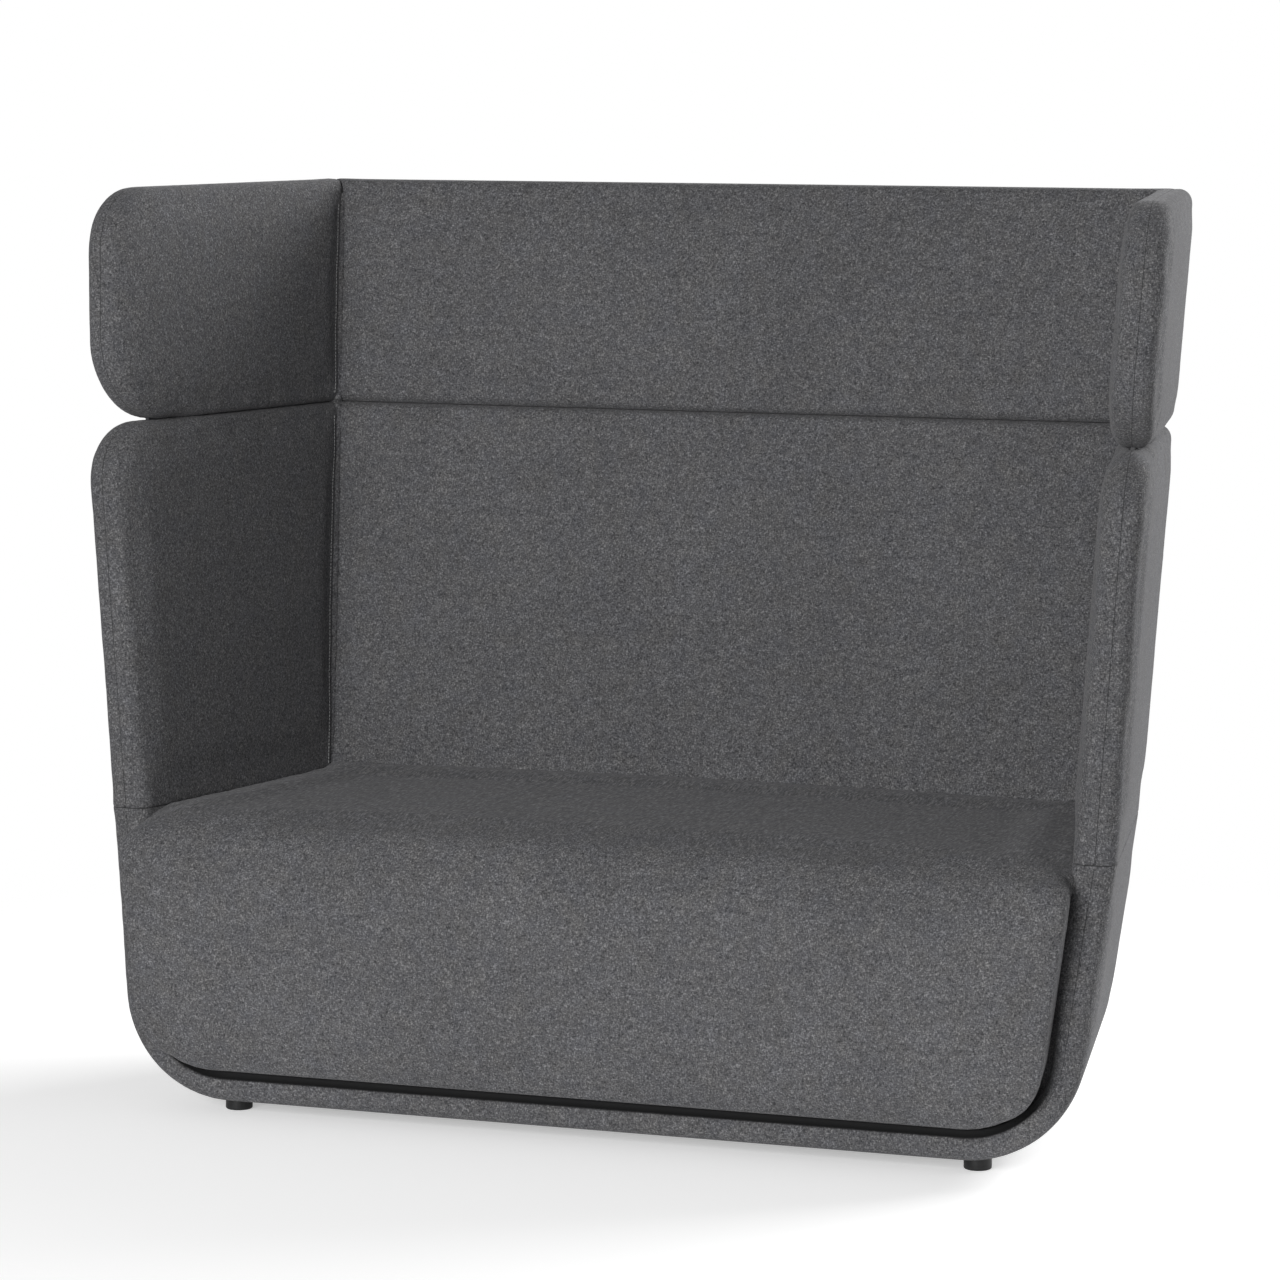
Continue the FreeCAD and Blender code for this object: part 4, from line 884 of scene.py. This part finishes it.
thread = grey_thread()
for side, sign in (("left", -1.0), ("right", 1.0)):
    tiers = (("arm", TIER_SEAM, CREASE - RIDGE_END), ("head", CREASE + RIDGE_END, HEAD_TOP))
    for tier, low, high in tiers:
        start, stop = corner_at(sign, low, 0.0, RIDGE_SUNK), corner_at(sign, high, 0.0, RIDGE_SUNK)
        ridge = round_bar("corner_ridge_%s_%s" % (tier, side), RIDGE_SIDES, CORNER_RIDGE,
                          (stop - start).length, RIDGE_EDGE)
        set_in(ridge, start, stop, felt)
        row_of_stitches("corner_thread_%s_%s" % (tier, side), corner_at(sign, low + STITCH_END, STITCH_ASIDE),
                        corner_at(sign, high - STITCH_END, STITCH_ASIDE), upper_covers[tier, side])
    start = corner_at(sign, CREASE - FOLD_HALF_HEIGHT, 0.0, FOLD_SUNK)
    stop = corner_at(sign, CREASE + FOLD_HALF_HEIGHT, 0.0, FOLD_SUNK)
    fold = round_bar("corner_fold_" + side, FOLD_SIDES, CORNER_FOLD, (stop - start).length, FOLD_EDGE)
    set_in(fold, start, stop, felt)


# Seat.
# One block of foam on a plywood box, in a single felt cover with a rounded nose; it overhangs the lip.
SEAT_GRAIN = 0.0063
SEAT_NOSE_SPREAD = 0.010      # the nose swells past the tub's walls in front of them
SEAT_FRONT = -0.3782
SEAT_FRONT_LEAN = math.tan(math.radians(3.0))
SEAT_CORNER_REACH = 0.045
SEAT_CORNER_FILL = 1.0        # foam fills the front corners
SEAT_TOP_SPREAD = 0.022       # the top edge presses against the arms and the backrest
SEAT_EDGE_LIFT = 0.016
SEAT_HANG = 0.011             # the cover hangs in front of the lip
NOSE_START, NOSE_RUN = 0.285, 0.04
CREST_START, CREST_RUN = 0.36, 0.05
BESIDE_END, BESIDE_RUN = 0.11, 0.10
BEHIND_END, BEHIND_RUN = 0.09, 0.06
LIFT_START, LIFT_RUN = -0.30, 0.08
SPREAD_START, SPREAD_RUN = -0.305, 0.04
HANG_START, HANG_RUN = 0.335, 0.015
HANG_TOP, HANG_TOP_RUN = 0.22, 0.1


def seat_shows(points, normals):
    """Frees the top and the nose."""
    return np.maximum(rising(normals[:, 2], 0.3, 0.4), rising(-normals[:, 1], 0.3, 0.4))


seat = felt_cover("seat_cover", [], ["seat_cushion"], seat_shows, 0.008, grain=SEAT_GRAIN)
block = points_of(seat.data)
across = np.abs(block[:, 0]) * math.cos(SPLAY) + block[:, 1] * math.sin(SPLAY)
to_side = SIDE_START + (block[:, 2] - TIER_SEAM) * TUB_LEAN - across
to_back = BACK_START - block[:, 1]
to_front = block[:, 1] - SEAT_FRONT - (block[:, 2] - TUB_FLOOR) * SEAT_FRONT_LEAN
near_side = np.clip(1.0 - to_side / SEAT_CORNER_REACH, 0.0, 1.0)
near_front = np.clip(1.0 - to_front / SEAT_CORNER_REACH, 0.0, 1.0)
block[:, 0] += np.sign(block[:, 0]) * SEAT_CORNER_FILL * np.maximum(to_side, 0.0) * near_front * near_side
block[:, 1] -= SEAT_CORNER_FILL * np.maximum(to_front, 0.0) * near_side * near_front
nose = rising(-block[:, 1], NOSE_START, NOSE_RUN)
crest = rising(block[:, 2], CREST_START, CREST_RUN)
beside = falling(to_side, BESIDE_END, BESIDE_RUN)
behind = falling(to_back, BEHIND_END, BEHIND_RUN)
lifted = rising(block[:, 1], LIFT_START, LIFT_RUN)
pressed = rising(block[:, 1], SPREAD_START, SPREAD_RUN)
spread = np.maximum(SEAT_NOSE_SPREAD * nose, SEAT_TOP_SPREAD * crest * pressed)
block[:, 0] += np.sign(block[:, 0]) * spread * beside
block[:, 1] += SEAT_TOP_SPREAD * crest * behind
block[:, 2] += SEAT_EDGE_LIFT * crest * np.maximum(beside * lifted, behind)
hanging = rising(-block[:, 1], HANG_START, HANG_RUN)
block[:, 2] -= SEAT_HANG * hanging * falling(block[:, 2], HANG_TOP, HANG_TOP_RUN)
seat.data.vertices.foreach_set("co", block.ravel())
seat.data.update()


# Cloth under the seat.
# A thin black non-woven sheet that keeps dust out. It is stapled to the underside of the tub along its four
# edges, is drawn up at each staple and sags a little between them.
DUST_SAG = 0.0025
DUST_PUCKER = 0.0008
DUST_THICKNESS = 0.0008
DUST_EDGE = 0.03              # how far the puckers run in from an edge
STAPLE_PITCH = 0.060
STAPLE_LENGTH = 0.010
STAPLE_RADIUS = 0.0006
STAPLE_INSET = 0.008


def dust_cloth():
    finish = bpy.data.materials.new("black_dust_cloth")
    finish.use_nodes = True
    nodes, links = finish.node_tree.nodes, finish.node_tree.links
    shader = nodes["Principled BSDF"]
    place = nodes.new("ShaderNodeTexCoord")
    web = nodes.new("ShaderNodeTexVoronoi")
    web.inputs["Scale"].default_value = 420.0
    links.new(place.outputs["Object"], web.inputs["Vector"])
    tone = nodes.new("ShaderNodeValToRGB")
    tone.color_ramp.elements[0].color = (0.02, 0.02, 0.021, 1)
    tone.color_ramp.elements[1].color = (0.009, 0.009, 0.0095, 1)
    links.new(web.outputs["Distance"], tone.inputs["Fac"])
    links.new(tone.outputs["Color"], shader.inputs["Base Color"])
    bump = nodes.new("ShaderNodeBump")
    bump.inputs["Strength"].default_value = 0.3
    bump.inputs["Distance"].default_value = 0.0003
    links.new(web.outputs["Distance"], bump.inputs["Height"])
    links.new(bump.outputs["Normal"], shader.inputs["Normal"])
    shader.inputs["Roughness"].default_value = 0.85
    return finish


cut = points_of(frame["nodes"]["dust_cover"].data)
low, high = cut.min(0), cut.max(0)
front_half = float(np.abs(cut[cut[:, 1] < low[1] + 0.001, 0]).max())
rear_half = float(np.abs(cut[cut[:, 1] > high[1] - 0.001, 0]).max())
deep = float(high[1] - low[1])
bpy.ops.object.select_all(action="DESELECT")
bpy.ops.mesh.primitive_grid_add(x_subdivisions=128, y_subdivisions=64, size=1.0, location=(0, 0, 0))
sheet = start_piece("dust_sheet")
net = points_of(sheet.data)
across, along = net[:, 0] * 2, net[:, 1] + 0.5
half = front_half + along * (rear_half - front_half)
net[:, 0] = across * half
net[:, 1] = low[1] + along * deep
to_front, to_rear = along * deep, (1 - along) * deep
to_side = (1 - np.abs(across)) * half
between_x = (1 - np.cos(2 * math.pi * net[:, 0] / STAPLE_PITCH)) / 2
between_y = (1 - np.cos(2 * math.pi * to_front / STAPLE_PITCH)) / 2
pucker = between_x * (np.exp(-to_front / DUST_EDGE) + np.exp(-to_rear / DUST_EDGE))
pucker += between_y * np.exp(-to_side / DUST_EDGE)
sag = (1 - across ** 2) * (1 - (2 * along - 1) ** 2)
net[:, 2] = high[2] - DUST_THICKNESS / 2 - DUST_SAG * sag - DUST_PUCKER * pucker
sheet.data.vertices.foreach_set("co", net.ravel())
sheet.data.update()
thick = sheet.modifiers.new("thick", "SOLIDIFY")
thick.thickness = DUST_THICKNESS
thick.offset = 0.0
bpy.ops.object.modifier_apply(modifier=thick.name)
bpy.ops.object.shade_smooth_by_angle(angle=math.radians(40))
sheet.data.materials.clear()
sheet.data.materials.append(dust_cloth())
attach(sheet, "root")
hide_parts("dust_cover")
under = float(high[2]) - DUST_THICKNESS - STAPLE_RADIUS * 0.5
front_y, rear_y = float(low[1]) + STAPLE_INSET, float(high[1]) - STAPLE_INSET
front_x, rear_x = front_half - STAPLE_INSET, rear_half - STAPLE_INSET
corners = [Vector((-front_x, front_y, under)), Vector((front_x, front_y, under)),
           Vector((rear_x, rear_y, under)), Vector((-rear_x, rear_y, under))]
for edge, start, stop in zip(("front", "right", "rear", "left"), corners, corners[1:] + corners[:1]):
    row, _ = row_of_bars("dust_staples_" + edge, STAPLE_RADIUS, STAPLE_LENGTH, STAPLE_PITCH, start, stop,
                         hidden_finishes["zinc_steel"])


# Studio.
# A pale floor that runs out to white, a broad soft front light, a side light from behind on the right and
# an even room light.
bpy.ops.object.select_all(action="DESELECT")
bpy.ops.mesh.primitive_plane_add(size=60.0, location=(0, 0, 0))
floor = start_piece("studio_floor")
paint = bpy.data.materials.new("pale_floor")
paint.use_nodes = True
floor_nodes, floor_links = paint.node_tree.nodes, paint.node_tree.links
floor_shader = floor_nodes["Principled BSDF"]
floor_shader.inputs["Base Color"].default_value = (0.93, 0.93, 0.93, 1)
floor_shader.inputs["Roughness"].default_value = 0.9
floor_shader.inputs["Emission Color"].default_value = (1, 1, 1, 1)
seen = floor_nodes.new("ShaderNodeLightPath")
glow = floor_nodes.new("ShaderNodeMapRange")
glow.inputs["To Min"].default_value = 0.1
glow.inputs["To Max"].default_value = 0.4
floor_links.new(seen.outputs["Is Camera Ray"], glow.inputs["Value"])
floor_links.new(glow.outputs["Result"], floor_shader.inputs["Emission Strength"])
floor_shader.inputs["Specular IOR Level"].default_value = 0.1
spot = floor_nodes.new("ShaderNodeTexCoord")
apart = floor_nodes.new("ShaderNodeVectorMath")
apart.operation = "LENGTH"
floor_links.new(spot.outputs["Object"], apart.inputs[0])
fade = floor_nodes.new("ShaderNodeMapRange")
fade.interpolation_type = "SMOOTHSTEP"
fade.inputs["From Min"].default_value = 0.9
fade.inputs["From Max"].default_value = 2.2
floor_links.new(apart.outputs["Value"], fade.inputs["Value"])
clear = floor_nodes.new("ShaderNodeBsdfTransparent")
edge = floor_nodes.new("ShaderNodeMixShader")
floor_links.new(fade.outputs["Result"], edge.inputs["Fac"])
floor_links.new(floor_shader.outputs["BSDF"], edge.inputs[1])
floor_links.new(clear.outputs["BSDF"], edge.inputs[2])
floor_links.new(edge.outputs["Shader"], floor_nodes["Material Output"].inputs["Surface"])
floor.data.materials.append(paint)

room = bpy.data.worlds.new("studio_room")
room.use_nodes = True
room_nodes, room_links = room.node_tree.nodes, room.node_tree.links
backdrop = room_nodes["Background"]
backdrop.inputs["Color"].default_value = (1, 1, 1, 1)
ray = room_nodes.new("ShaderNodeLightPath")
level = room_nodes.new("ShaderNodeMapRange")
level.inputs["To Min"].default_value = 0.26
level.inputs["To Max"].default_value = 1.0
room_links.new(ray.outputs["Is Camera Ray"], level.inputs["Value"])
room_links.new(level.outputs["Result"], backdrop.inputs["Strength"])
bpy.context.scene.world = room


def soft_light(name, place, aim, size, power):
    lamp = bpy.data.lights.new(name, "AREA")
    lamp.shape = "RECTANGLE"
    lamp.size, lamp.size_y = size
    lamp.energy = power
    holder = bpy.data.objects.new(name, lamp)
    holder.location = place
    holder.rotation_euler = (Vector(aim) - Vector(place)).to_track_quat("-Z", "Y").to_euler()
    bpy.context.scene.collection.objects.link(holder)


soft_light("front_light", (-0.9, -8.0, 2.3), (0, 0, 0.7), (4.0, 3.0), 535.0)
soft_light("side_light", (2.9, 3.3, 2.6), (0.6, 0, 0.9), (3.6, 2.6), 270.0)
bpy.context.scene.view_settings.view_transform = "Standard"

# Camera: a long lens from the front right, a little above the seat.
VIEW_TURN = 0.356932
VIEW_DIP = 0.119149
VIEW_ROLL = 0.001189
VIEW_PLACE = (2.58808, -7.03538, 1.59333)
VIEW_LENS = 143.4375
lens = bpy.data.cameras.new("front_view")
lens.lens = VIEW_LENS
lens.sensor_width = 36.0
eye = bpy.data.objects.new("front_view", lens)
look = Vector((-math.sin(VIEW_TURN) * math.cos(VIEW_DIP), math.cos(VIEW_TURN) * math.cos(VIEW_DIP),
               -math.sin(VIEW_DIP)))
level_right = Vector((math.cos(VIEW_TURN), math.sin(VIEW_TURN), 0))
level_up = level_right.cross(look)
right = level_right * math.cos(VIEW_ROLL) + level_up * math.sin(VIEW_ROLL)
up = level_up * math.cos(VIEW_ROLL) - level_right * math.sin(VIEW_ROLL)
eye.matrix_world = Matrix.Translation(VIEW_PLACE) @ Matrix((right, up, -look)).transposed().to_4x4()
bpy.context.scene.collection.objects.link(eye)
bpy.context.scene.camera = eye
